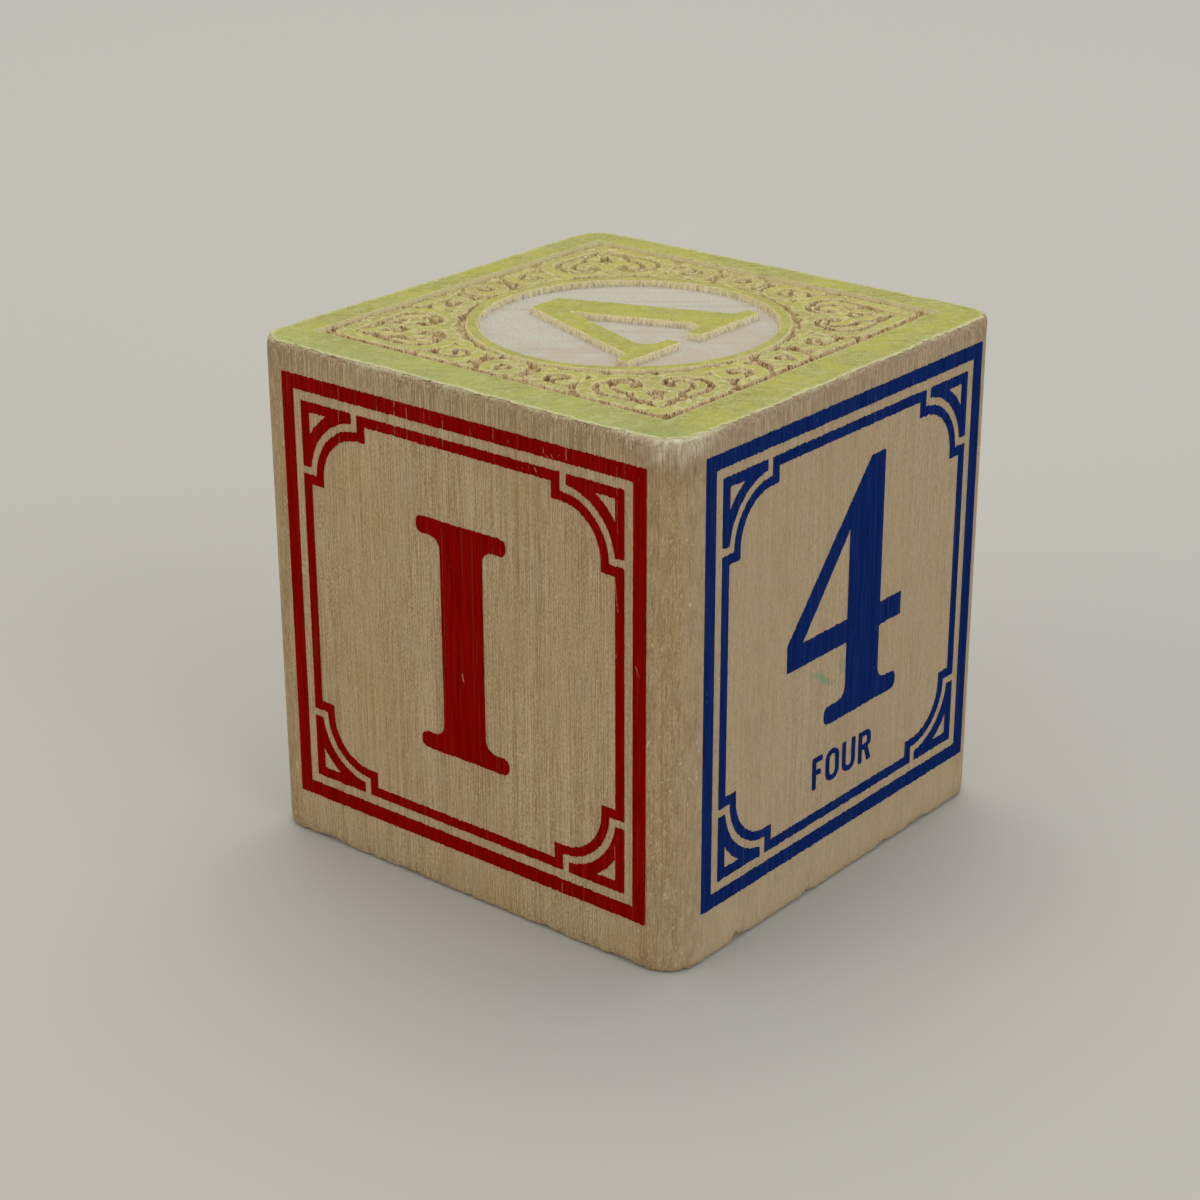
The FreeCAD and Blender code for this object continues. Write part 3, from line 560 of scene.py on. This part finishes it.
ornament = {                 # strokes: start, heading, bends, width, tip; leaves: length, width, bend
    "corner": [              # mirrored across the diagonal
        stroke((1.75, 1.75), 100, [(34, -10), (3.0, -148), (2.05, -112), (1.0, -165)], 1.35, 0.95),
        leaf((3.3, 4.15), 78, 2.4, 1.15, -30), leaf((6.0, 11.2), -122, 1.9, 0.9, -20)],
    "diagonal": [leaf((2.7, 2.7), 45, 1.7, 1.1, 1), leaf((8.35, 8.35), 225, 1.6, 1.3, 1)],
    "side": [                # mirrored across the middle of a side
        stroke((1.1, 7.2), -84, [(18, -6), (1.75, 208), (1.1, 130)], 1.2, 0.95),
        leaf((5.15, 5.7), 66, 2.6, 1.2, 22), leaf((4.35, 2.3), 62, 1.7, 0.95, 30),
        leaf((0.95, 3.2), -70, 1.4, 0.95, -30),
        stroke((3.95, 0.0), 90, [(1.38, 142), (0.9, -50)], 1.25, 0.95)],
}


farAway = 99.0


def toStroke(x, y, line):        # distance to a line's edge, negative inside
    arcs, wide, tip, belly = line

    def halfWidth(t):
        return (wide + (tip - wide) * t + belly * np.sin(math.pi * t)) / 2

    best = np.full(x.shape, farAway)
    for cx, cy, radius, begin, sweep, first, last in arcs:
        turned = np.mod(math.copysign(1, sweep) * (np.arctan2(y - cy, x - cx) - begin), 2 * math.pi)
        part = np.clip(turned / abs(sweep), 0, 1)
        near = np.abs(np.hypot(x - cx, y - cy) - radius) - halfWidth(first + (last - first) * part)
        best = np.where(turned <= abs(sweep), np.minimum(best, near), best)
        for t, a in ((first, begin), (last, begin + sweep)):
            tipX, tipY = cx + radius * math.cos(a), cy + radius * math.sin(a)
            best = np.minimum(best, np.hypot(x - tipX, y - tipY) - halfWidth(t))
    return best


def toScrollwork(x, y):
    lines = np.full(x.shape, farAway)
    for quarter in range(4):
        c, s = math.cos(quarter * math.pi / 2), math.sin(quarter * math.pi / 2)
        across, along = c * x + s * y, c * y - s * x
        deep, other = die["windowHalf"] - across, die["windowHalf"] - along
        for line in ornament["corner"]:
            lines = np.minimum(lines, np.minimum(toStroke(deep, other, line), toStroke(other, deep, line)))
        for line in ornament["diagonal"]:
            lines = np.minimum(lines, toStroke(deep, other, line))
        for line in ornament["side"]:
            lines = np.minimum(lines, np.minimum(toStroke(deep, along, line), toStroke(deep, -along, line)))
    pinch = np.array([ripple(a, b, 0.55, 8) for a, b in zip(x, y)])
    between = die["groove"] + die["pinch"] * pinch - lines      # what stands between the grooves
    wall = np.maximum(np.abs(x), np.abs(y)) - die["windowHalf"]
    centre = np.hypot(x, y)

    def heldOff(shape, kind):    # cut off near the border and the ring
        limits = np.maximum(wall + die["offWall"][kind], die["ringOut"] + die["offRing"][kind] - centre)
        return np.maximum(shape, limits)

    return np.minimum(heldOff(lines, "scrolls"), heldOff(between, "between"))


def toRing(x, y):
    centre = np.hypot(x, y)
    return np.maximum(centre - die["ringOut"], die["ringIn"] - centre)


def letterEdges():               # outline of the pressed letter, from the frame, in the die's plane
    flat = bmesh.new()
    flat.from_mesh(nodes["top_letter_coat"].data)
    bmesh.ops.remove_doubles(flat, verts=flat.verts[:], dist=0.00001)
    upper = [f for f in flat.faces if f.normal.z > 0.9]
    cx, cy = die["centre"]["top"]
    edges = []
    for edge in flat.edges:
        if sum(f in upper for f in edge.link_faces) == 1:
            ends = [(-(v.co.y / mm - cy), v.co.x / mm - cx) for v in edge.verts]
            edges.append(ends)
    flat.free()
    return edges


letterOutline = letterEdges()


def toLetter(x, y):
    best = np.full(x.shape, farAway)
    inside = np.zeros(x.shape, bool)
    for (ax, ay), (bx, by) in letterOutline:
        dx, dy = bx - ax, by - ay
        along = np.clip(((x - ax) * dx + (y - ay) * dy) / (dx ** 2 + dy ** 2), 0, 1)
        best = np.minimum(best, np.hypot(x - ax - along * dx, y - ay - along * dy))
        if ay != by:
            inside ^= ((ay > y) != (by > y)) & (x < dx * (y - ay) / dy + ax)
    return np.where(inside, -best, best)


def toBorder(x, y):              # the land outside the window
    return die["windowHalf"] - np.maximum(np.abs(x), np.abs(y))


def tornNoise(x, y, shift):
    return np.array([ripple(a, b, 2.6, shift) + 0.7 * ripple(a, b, 6.5, shift) for a, b in zip(x, y)])


def snapped(x, y, distance, cell):       # moves points beside an outline on to it
    step, reach = 0.02, 0.55 * cell
    here = distance(x, y)
    slopeX = (distance(x + step, y) - here) / step
    slopeY = (distance(x, y + step) - here) / step
    steep = np.maximum(slopeX ** 2 + slopeY ** 2, 0.25)
    near = np.abs(here) < reach
    x = np.where(near, x - here * slopeX / steep, x)
    y = np.where(near, y - here * slopeY / steep, y)
    return x, y, here, near


def endMatrix(end):              # from the die's frame, in millimetres, to the block
    cx, cy = die["centre"][end]
    if end == "top":
        turn = Matrix(((0, 1, 0, cx), (-1, 0, 0, cy), (0, 0, 1, woodTop), (0, 0, 0, 1)))
    else:
        turn = Matrix(((0, 1, 0, cx), (1, 0, 0, cy), (0, 0, -1, block["foot"]), (0, 0, 0, 1)))
    return Matrix.Scale(mm, 4) @ turn


paintFilm = {
    "root": 0.02,            # how far the paint goes into the wood
    "waver": 0.02,           # unevenness of its top
    "rimWidth": 0.02,
    "rimDrop": 0.03,         # its rim is thinner
}


def filmFrom(ground, keep, thick):       # a closed film over the faces that keep allows
    film = ground.copy()
    rim = film.verts.layers.float["rim"]
    gone = [f for f in film.faces if not keep(f)]
    bmesh.ops.delete(film, geom=gone, context="FACES")
    for vert in film.verts:
        vert.co.z -= paintFilm["root"]
    grown = bmesh.ops.extrude_face_region(film, geom=film.faces[:])["geom"]
    for vert in ofKind(grown, bmesh.types.BMVert):
        vert.co.z += thick + paintFilm["waver"] * ripple(vert.co.x, vert.co.y, 1.4)
        if vert[rim] < paintFilm["rimWidth"]:
            vert.co.z -= paintFilm["rimDrop"]
    bmesh.ops.recalc_face_normals(film, faces=film.faces[:])
    for face in film.faces:
        face.smooth = True
    return film


def pressedEnd(end):
    cells = die["cells"][end]
    cell = 2 * die["reach"] / cells
    ground = bmesh.new()
    bmesh.ops.create_grid(ground, x_segments=cells, y_segments=cells, size=die["reach"])
    rim = ground.verts.layers.float.new("rim")
    wall = ground.verts.layers.float.new("wall")
    inside = ground.verts.layers.float.new("ground")
    verts = ground.verts[:]
    x = np.array([v.co.x for v in verts])
    y = np.array([v.co.y for v in verts])
    torn = die["torn"] * tornNoise(x, y, 1.0 if end == "top" else 6.0)
    shapes = {"scrollwork": toScrollwork, "ring": toRing, "letter": toLetter, "border": toBorder}

    def anyRaised(px, py):
        best = np.minimum(toRing(px, py), toBorder(px, py))
        return np.minimum(np.minimum(best, toScrollwork(px, py)), toLetter(px, py)) + torn

    x, y, here, near = snapped(x, y, anyRaised, cell)
    kinds = {name: shape(x, y) + torn * ~near for name, shape in shapes.items()}
    inRing = np.hypot(x, y) < die["ringIn"]
    carved = kinds["scrollwork"] <= die["touch"]
    plain = np.minimum(np.minimum(kinds["ring"], kinds["letter"]), kinds["border"])
    besideScrolls = kinds["scrollwork"] < plain
    for i, vert in enumerate(verts):
        rough = ripple(x[i], y[i], 2.2, 4) + 0.8 * ripple(x[i], y[i], 5.5, 5)
        drop = die["softDrop"] if carved[i] else die["roundDrop"]
        off = here[i]
        if near[i]:
            height = -drop
        elif off < 0:
            height = -die["topDrop"]
            if carved[i]:
                uneven = max(0, rough) + ripple(x[i], y[i], 0.8, 2)
                height -= drop * math.exp(off / die["softReach"]) + die["softRough"] * uneven
        else:
            share, uneven, fillet = die["ground"]["inside" if inRing[i] else "outside"]
            height = uneven * rough + fillet * math.exp(-off / fillet) - share * die["depth"]
        vert.co = (x[i], y[i], height)
        vert[rim] = 0.0 if near[i] else max(0.0, -off)
        strength = die["scrollWall"] if besideScrolls[i] else 1.0
        vert[wall] = strength - min(1.0, max(0.0, off) / die["wallReach"])
        vert[inside] = float(inRing[i])
    place = endMatrix(end)
    number = {vert: i for i, vert in enumerate(verts)}
    ground.faces.index_update()

    def raised(face, off):       # a face inside the outline that off gives the distance to
        values = [off[number[v]] for v in face.verts]
        return max(values) <= die["touch"] and sum(values) < -die["touch"]

    for name in ("scrollwork", "ring", "letter"):
        marked = {f.index for f in ground.faces if raised(f, kinds[name])}
        film = filmFrom(ground, lambda f: f.index in marked, die["film"])
        bmesh.ops.transform(film, matrix=place, verts=film.verts[:])
        replaced = [] if name == "scrollwork" else [end + "_" + name + "_coat"]
        newPiece(end + "_" + name + "_paint", film, finishes[name], replaced)
    edges = [e for e in ground.edges if e.is_boundary]
    grown = bmesh.ops.extrude_edge_only(ground, edges=edges)["geom"]
    for vert in ofKind(grown, bmesh.types.BMVert):
        vert.co.z = -die["skirt"]
    bmesh.ops.edgeloop_fill(ground, edges=ofKind(grown, bmesh.types.BMEdge))
    bmesh.ops.recalc_face_normals(ground, faces=ground.faces[:])
    for face in ground.faces:
        face.smooth = len(face.verts) == 4 and face.normal.z > 0.5
    bmesh.ops.transform(ground, matrix=place, verts=ground.verts[:])
    newPiece(end + "_pressed_wood", ground, finishes["end"])


pressedEnd("top")
pressedEnd("bottom")


# Paint on the borders

borderPaint = {
    "cell": {"top": 0.15, "bottom": 0.2},      # grid that the film is cut from
    "inset": {"top": 0.34, "bottom": 0.75},    # bare wood round the paint
    "fray": 0.18,            # raggedness of its outer edge
    "innerFray": 0.35,       # that of its inner edge, as a share of the die's
    "corner": (0.5, 3.0),    # how far, and from how near, it is worn back at the near corner
    "base": -0.03,           # where the film starts, against the block's end
    "extra": 0.015,          # thickness over that of the other films
    "rimRatio": 2.5,         # the outer edge is worn this much more than the inner one
}


def paintedBorder(end):
    cell = borderPaint["cell"][end]
    cells = int(block["side"] / cell)
    cx, cy = die["centre"][end]
    film = bmesh.new()
    bmesh.ops.create_grid(film, x_segments=cells, y_segments=cells, size=half)
    rim = film.verts.layers.float.new("rim")
    verts = film.verts[:]
    x = np.array([v.co.x for v in verts])
    y = np.array([v.co.y for v in verts])
    shift = 2.0 if end == "top" else 7.0
    fray = tornNoise(x * 0.8, y * 0.8, shift) + tornNoise(x * 0.15, y * 0.15, shift)
    fray *= borderPaint["fray"]
    if end == "top":
        depth, reach = borderPaint["corner"]
        fray += depth * np.exp(-((x - half) ** 2 + (y + half) ** 2) / reach ** 2)
    edge = borderPaint["innerFray"] * die["torn"] * tornNoise(x, y, shift + 1)

    def outside(px, py):
        dx, dy = np.maximum(np.abs(px) - core, 0), np.maximum(np.abs(py) - core, 0)
        within = np.minimum(np.maximum(np.abs(px) - core, np.abs(py) - core), 0)
        return np.hypot(dx, dy) + within - block["edgeRadius"] + borderPaint["inset"][end] + fray

    def land(px, py):
        window = die["windowHalf"] - np.maximum(np.abs(px - cx), np.abs(py - cy)) + edge
        return np.maximum(outside(px, py), window)

    x, y, here, near = snapped(x, y, land, cell)
    here = np.where(near, 0.0, here)
    fromEdge = np.minimum(-outside(x, y), -borderPaint["rimRatio"] * here)
    for i, vert in enumerate(verts):
        vert.co = (x[i], y[i], borderPaint["base"])
        vert[rim] = max(0.0, fromEdge[i])
    inside = {v for i, v in enumerate(verts) if here[i] <= 0}
    film.faces.index_update()
    marked = {f.index for f in film.faces if all(v in inside for v in f.verts)}
    shape = filmFrom(film, lambda f: f.index in marked, die["film"] + borderPaint["extra"])
    film.free()
    flip = Matrix.Translation((0, 0, woodTop))
    if end == "bottom":
        flip = Matrix.Translation((0, 0, block["foot"])) @ Matrix.Scale(-1, 4, (0, 0, 1))
    bmesh.ops.transform(shape, matrix=Matrix.Scale(mm, 4) @ flip, verts=shape.verts[:])
    bmesh.ops.recalc_face_normals(shape, faces=shape.faces[:])
    newPiece(end + "_border_paint", shape, finishes["border"], [end + "_border_coat"])


paintedBorder("top")
paintedBorder("bottom")


# Printed ink: the CAD films' outlines, with the small teeth that the grain gives a printed edge

printing = {
    "step": 0.09,            # spacing of points along an outline
    "tooth": 0.105,          # how far the teeth reach along the grain
    "wander": 0.02,          # how far an edge drifts across it
    "film": 0.05,
}


def outward(name):               # which way a printed piece faces
    side = name.split("_")[0]
    return Vector({"front": (0, -1, 0), "right": (1, 0, 0), "back": (0, 1, 0), "left": (-1, 0, 0)}[side])


def inked(shape, facing):        # from an outline to a film with toothed edges
    lengths = {}
    for edge in shape.edges:
        cuts = int(edge.calc_length() / printing["step"])
        if cuts > 0:
            lengths.setdefault(cuts, []).append(edge)
    for cuts, edges in lengths.items():
        bmesh.ops.subdivide_edges(shape, edges=edges, cuts=cuts)
    bmesh.ops.smooth_vert(shape, verts=shape.verts[:], factor=0.5,
                          use_axis_x=True, use_axis_y=True, use_axis_z=True)
    along = facing.cross(Vector((0, 0, 1)))
    for vert in shape.verts:
        x, y, z = vert.co        # the noises are stretched along the grain
        tooth = 0.3 * noise.noise(Vector((x * 2.6, y * 2.6, z * 0.35)))
        tooth += noise.noise(Vector((x * 7.5, y * 7.5, z * 0.8)))
        drift = noise.noise(Vector((x * 0.4, y * 0.4, z * 1.3 + 5)))
        vert.co += Vector((0, 0, printing["tooth"] * tooth)) + along * printing["wander"] * drift
    bmesh.ops.triangle_fill(shape, edges=shape.edges[:], use_beauty=True, use_dissolve=False, normal=facing)
    grown = bmesh.ops.extrude_face_region(shape, geom=shape.faces[:])["geom"]
    bmesh.ops.translate(shape, verts=ofKind(grown, bmesh.types.BMVert), vec=facing * printing["film"])
    bmesh.ops.recalc_face_normals(shape, faces=shape.faces[:])
    toMetres(shape)


def keepEdges(shape, kept):
    bmesh.ops.delete(shape, geom=shape.faces[:], context="FACES_ONLY")
    bmesh.ops.delete(shape, geom=[e for e in shape.edges if e not in kept], context="EDGES")


def printedPiece(name, finish):
    facing = outward(name)
    shape = bmesh.new()
    shape.from_mesh(nodes[name].data)
    bmesh.ops.remove_doubles(shape, verts=shape.verts[:], dist=0.000001)
    bmesh.ops.transform(shape, matrix=Matrix.Scale(1 / mm, 4), verts=shape.verts[:])
    bmesh.ops.dissolve_limit(shape, angle_limit=0.01, verts=shape.verts[:], edges=shape.edges[:])
    outline = [e for e in shape.edges if sum(f.normal.dot(facing) < -0.9 for f in e.link_faces) == 1
               and sum(abs(f.normal.dot(facing)) < 0.1 for f in e.link_faces) == 1]
    keepEdges(shape, set(outline))
    inked(shape, facing)
    newPiece(name + "_print", shape, finish, [name])


word = {
    "foot": 9.6,
    "slope": -0.022,             # the line of type isn't quite level
    "letters": [                 # left end along the side, then the corners, some of them rounded
        (-3.85, [[(0, 0), (0.52, 0), (0.52, 1.2), (1.2, 1.2), (1.2, 1.68), (0.52, 1.68), (0.52, 2.37),
                  (1.42, 2.37), (1.42, 2.85), (0, 2.85)]]),
        (-1.95, [[(0, 0, 0.85), (1.92, 0, 0.85), (1.92, 2.85, 0.85), (0, 2.85, 0.85)],
                 [(0.53, 0.46, 0.4), (1.39, 0.46, 0.4), (1.39, 2.39, 0.4), (0.53, 2.39, 0.4)]]),
        (0.45, [[(0, 2.85), (0, 0, 0.85), (1.88, 0, 0.85), (1.88, 2.85), (1.36, 2.85), (1.36, 0.46, 0.38),
                 (0.52, 0.46, 0.38), (0.52, 2.85)]]),
        (2.85, [[(0, 0), (0.52, 0), (0.52, 1.18), (0.86, 1.18), (1.28, 0), (1.86, 0), (1.36, 1.3),
                 (1.8, 1.5, 0.25), (1.8, 2.85, 0.6), (0, 2.85)],
                [(0.52, 1.64), (1.28, 1.64, 0.24), (1.28, 2.39, 0.24), (0.52, 2.39)]])],
}


def printedWord():
    shape = bmesh.new()
    for left, outlines in word["letters"]:
        for outline in outlines:
            corners = []
            for across, up, *rounded in outline:
                height = word["foot"] + up + word["slope"] * (left + across)
                corners.append((shape.verts.new((half, left + across, height)), rounded))
            shape.faces.new([vert for vert, rounded in corners])
            for vert, rounded in corners:
                if rounded:
                    bmesh.ops.bevel(shape, geom=[vert], offset=rounded[0], offset_type="OFFSET", segments=7,
                                    profile=0.5, affect="VERTICES", material=-1)
    bmesh.ops.delete(shape, geom=shape.faces[:], context="FACES_ONLY")
    inked(shape, Vector((1, 0, 0)))
    newPiece("right_word_print", shape, finishes["blue"])


for name in nodes:
    side = name.split("_")[0]
    if side in ("front", "back"):
        printedPiece(name, finishes["red"])
    elif side in ("left", "right"):
        printedPiece(name, finishes["blue"])
printedWord()


# Loose fibres, torn up along the rounded edges and under the top

tornFibres = {
    "seed": 11,
    "perEdge": 22,           # up each rounded edge
    "perRim": 46,            # along each side of the top
    "tufts": [(18.4, 44.1, 12), (17.7, 43.8, 6), (-4.6, 44.1, 4), (20.6, 44.0, 10), (-14.0, 44.1, 4)],
    "length": (0.25, 0.8),
    "wide": 0.055,           # radius at the root
    "tip": 0.15,             # shares of that: the tip, and how flat they are
    "flat": 0.45,
    "lift": 6,               # degrees that they stand off the wood
    "lean": {"edge": 22, "rim": 9, "tuft": 28},        # degrees, spread to either side
    "edgeSpread": 1.3,       # how far they spread from the middle of a rounded edge
    "edgeHeights": (1.5, 42.5),
    "rimDrop": (0.35, 0.12),     # least distance under the top, and its spread
    "tuftSpread": (0.45, 0.5),   # along the side and down
}


def onSide(turn, across, height):        # a place and its outward direction, on one of the four sides
    over = abs(across) - core
    if over <= 0:
        place, out = Vector((across, -half, height)), Vector((0, -1, 0))
    else:
        angle = min(over / block["edgeRadius"], math.pi / 4)
        out = Vector((math.copysign(math.sin(angle), across), -math.cos(angle), 0))
        place = Vector((math.copysign(core, across), -core, height)) + out * block["edgeRadius"]
    spin = Matrix.Rotation(turn * math.pi / 2, 3, "Z")
    return spin @ place, spin @ out


def fibre(shape, place, out, length, lean, wide):
    made = bmesh.ops.create_cone(shape, cap_ends=True, segments=5, radius1=wide,
                                 radius2=wide * tornFibres["tip"], depth=length)
    up = Matrix.Rotation(math.radians(lean), 3, out) @ Vector((0, 0, 1))
    up = (up + out * math.tan(math.radians(tornFibres["lift"]))).normalized()
    side = up.cross(out).normalized()
    thin = up.cross(side) * tornFibres["flat"]
    turn = Matrix((side, thin, up)).transposed().to_4x4()
    bmesh.ops.transform(shape, matrix=Matrix.Translation(place) @ turn, verts=made["verts"])


def looseFibres():
    rng = np.random.default_rng(tornFibres["seed"])
    shape = bmesh.new()
    lean = tornFibres["lean"]
    reach = core + block["edgeRadius"] * math.pi / 4
    nearest, spread = tornFibres["rimDrop"]
    along, down = tornFibres["tuftSpread"]

    def add(turn, across, height, tilt, long=1.0):
        place, out = onSide(turn, max(-reach, min(reach, across)), height)
        length = rng.uniform(*tornFibres["length"]) * long
        fibre(shape, place, out, length, tilt, tornFibres["wide"] * rng.uniform(0.5, 1.1))

    for turn in range(4):
        for i in range(tornFibres["perEdge"]):
            across = (reach - abs(rng.normal(0, tornFibres["edgeSpread"]))) * rng.choice([-1, 1])
            add(turn, across, rng.uniform(*tornFibres["edgeHeights"]), rng.normal(0, lean["edge"]), 0.8)
        for i in range(tornFibres["perRim"]):
            across = rng.uniform(-reach, reach)
            height = woodTop - nearest - rng.exponential(spread)
            add(turn, across, height, rng.normal(0, lean["rim"]), 0.6)
    for middle, top, count in tornFibres["tufts"]:
        for i in range(count):
            across = middle + rng.normal(0, along)
            height = top - rng.uniform(0, down)
            add(0, across, height, rng.normal(0, lean["tuft"]))
    for face in shape.faces:
        face.smooth = len(face.verts) == 4
    toMetres(shape)
    newPiece("loose_fibres", shape, finishes["fibre"])


looseFibres()


# Room, lamps and camera

room = {
    "floor": (184, 178, 166),
    "floorHalf": 3.0,            # metres
    "backdrop": (196, 212, 226),     # what the camera sees past the floor
    "light": (0.55, 0.60, 0.66),     # what the sky gives the object
    "camera": (131.989, -164.320, 107.167),      # place in millimetres, then its own directions
    "right": (0.7725154, 0.6349893, -0.0029368),
    "down": (0.2415261, -0.2981068, -0.9234703),
    "forward": (-0.5872692, 0.7126857, -0.3836586),
    "lens": 78.918,
    "sensor": 36,
    "nearest": 0.01,             # metres from the lens
}


def stageFinish(name, rgb):
    f = Finish(name)
    broad = f.cloud((0.01, 0.01, 0.01), 2.0)
    base = f.blend(broad * 0.15, rgb, tuple(c - 12 for c in rgb))
    return f.surface(base, 0.8, broad, 0.0, 0.1)


def buildRoom():
    floor = bmesh.new()
    bmesh.ops.create_grid(floor, x_segments=1, y_segments=1, size=room["floorHalf"])
    mesh = bpy.data.meshes.new("floor")
    floor.to_mesh(mesh)
    floor.free()
    ground = bpy.data.objects.new("floor", mesh)
    bpy.context.scene.collection.objects.link(ground)
    mesh.materials.append(stageFinish("plain_floor", room["floor"]))

    world = bpy.data.worlds.new("studio")
    bpy.context.scene.world = world
    world.use_nodes = True
    tree = world.node_tree
    tree.nodes.clear()
    sky = tree.nodes.new("ShaderNodeBackground")
    sky.inputs["Color"].default_value = room["light"] + (1.0,)
    seen = tree.nodes.new("ShaderNodeBackground")
    seen.inputs["Color"].default_value = linear(room["backdrop"])
    path = tree.nodes.new("ShaderNodeLightPath")
    mix = tree.nodes.new("ShaderNodeMixShader")
    out = tree.nodes.new("ShaderNodeOutputWorld")
    tree.links.new(path.outputs["Is Camera Ray"], mix.inputs[0])
    tree.links.new(sky.outputs[0], mix.inputs[1])
    tree.links.new(seen.outputs[0], mix.inputs[2])
    tree.links.new(mix.outputs[0], out.inputs["Surface"])


lamps = {                        # place, aim and size in metres, watts, colour
    "overhead": ((-0.25, 0.35, 0.95), (0, 0, 0.02), 0.9, 5.6, (1.0, 0.98, 0.95)),
    "window_side": ((0.95, -0.10, 0.40), (0, 0, 0.02), 0.8, 3.75, (0.90, 0.94, 1.0)),
    "room_side": ((-0.45, -0.85, 0.40), (0, 0, 0.02), 0.8, 3.0, (1.0, 0.93, 0.84)),
}


def buildLamps():
    for name, (place, aim, size, power, tint) in lamps.items():
        data = bpy.data.lights.new(name, "AREA")
        data.size = size
        data.energy = power
        data.color = tint
        lamp = bpy.data.objects.new(name, data)
        lamp.location = place
        lamp.rotation_euler = (Vector(aim) - Vector(place)).to_track_quat("-Z", "Y").to_euler()
        bpy.context.scene.collection.objects.link(lamp)


def buildCamera():
    data = bpy.data.cameras.new("camera")
    data.lens = room["lens"]
    data.sensor_width = room["sensor"]
    data.clip_start = room["nearest"]
    camera = bpy.data.objects.new("camera", data)
    turn = Matrix((room["right"], [-c for c in room["down"]], [-c for c in room["forward"]])).transposed()
    camera.matrix_world = Matrix.Translation(Vector(room["camera"]) * mm) @ turn.to_4x4()
    bpy.context.scene.collection.objects.link(camera)
    bpy.context.scene.camera = camera


buildRoom()
buildLamps()
buildCamera()
bpy.context.scene.view_settings.view_transform = "Standard"
print("room, lamps and camera set")

bpy.context.view_layer.update()
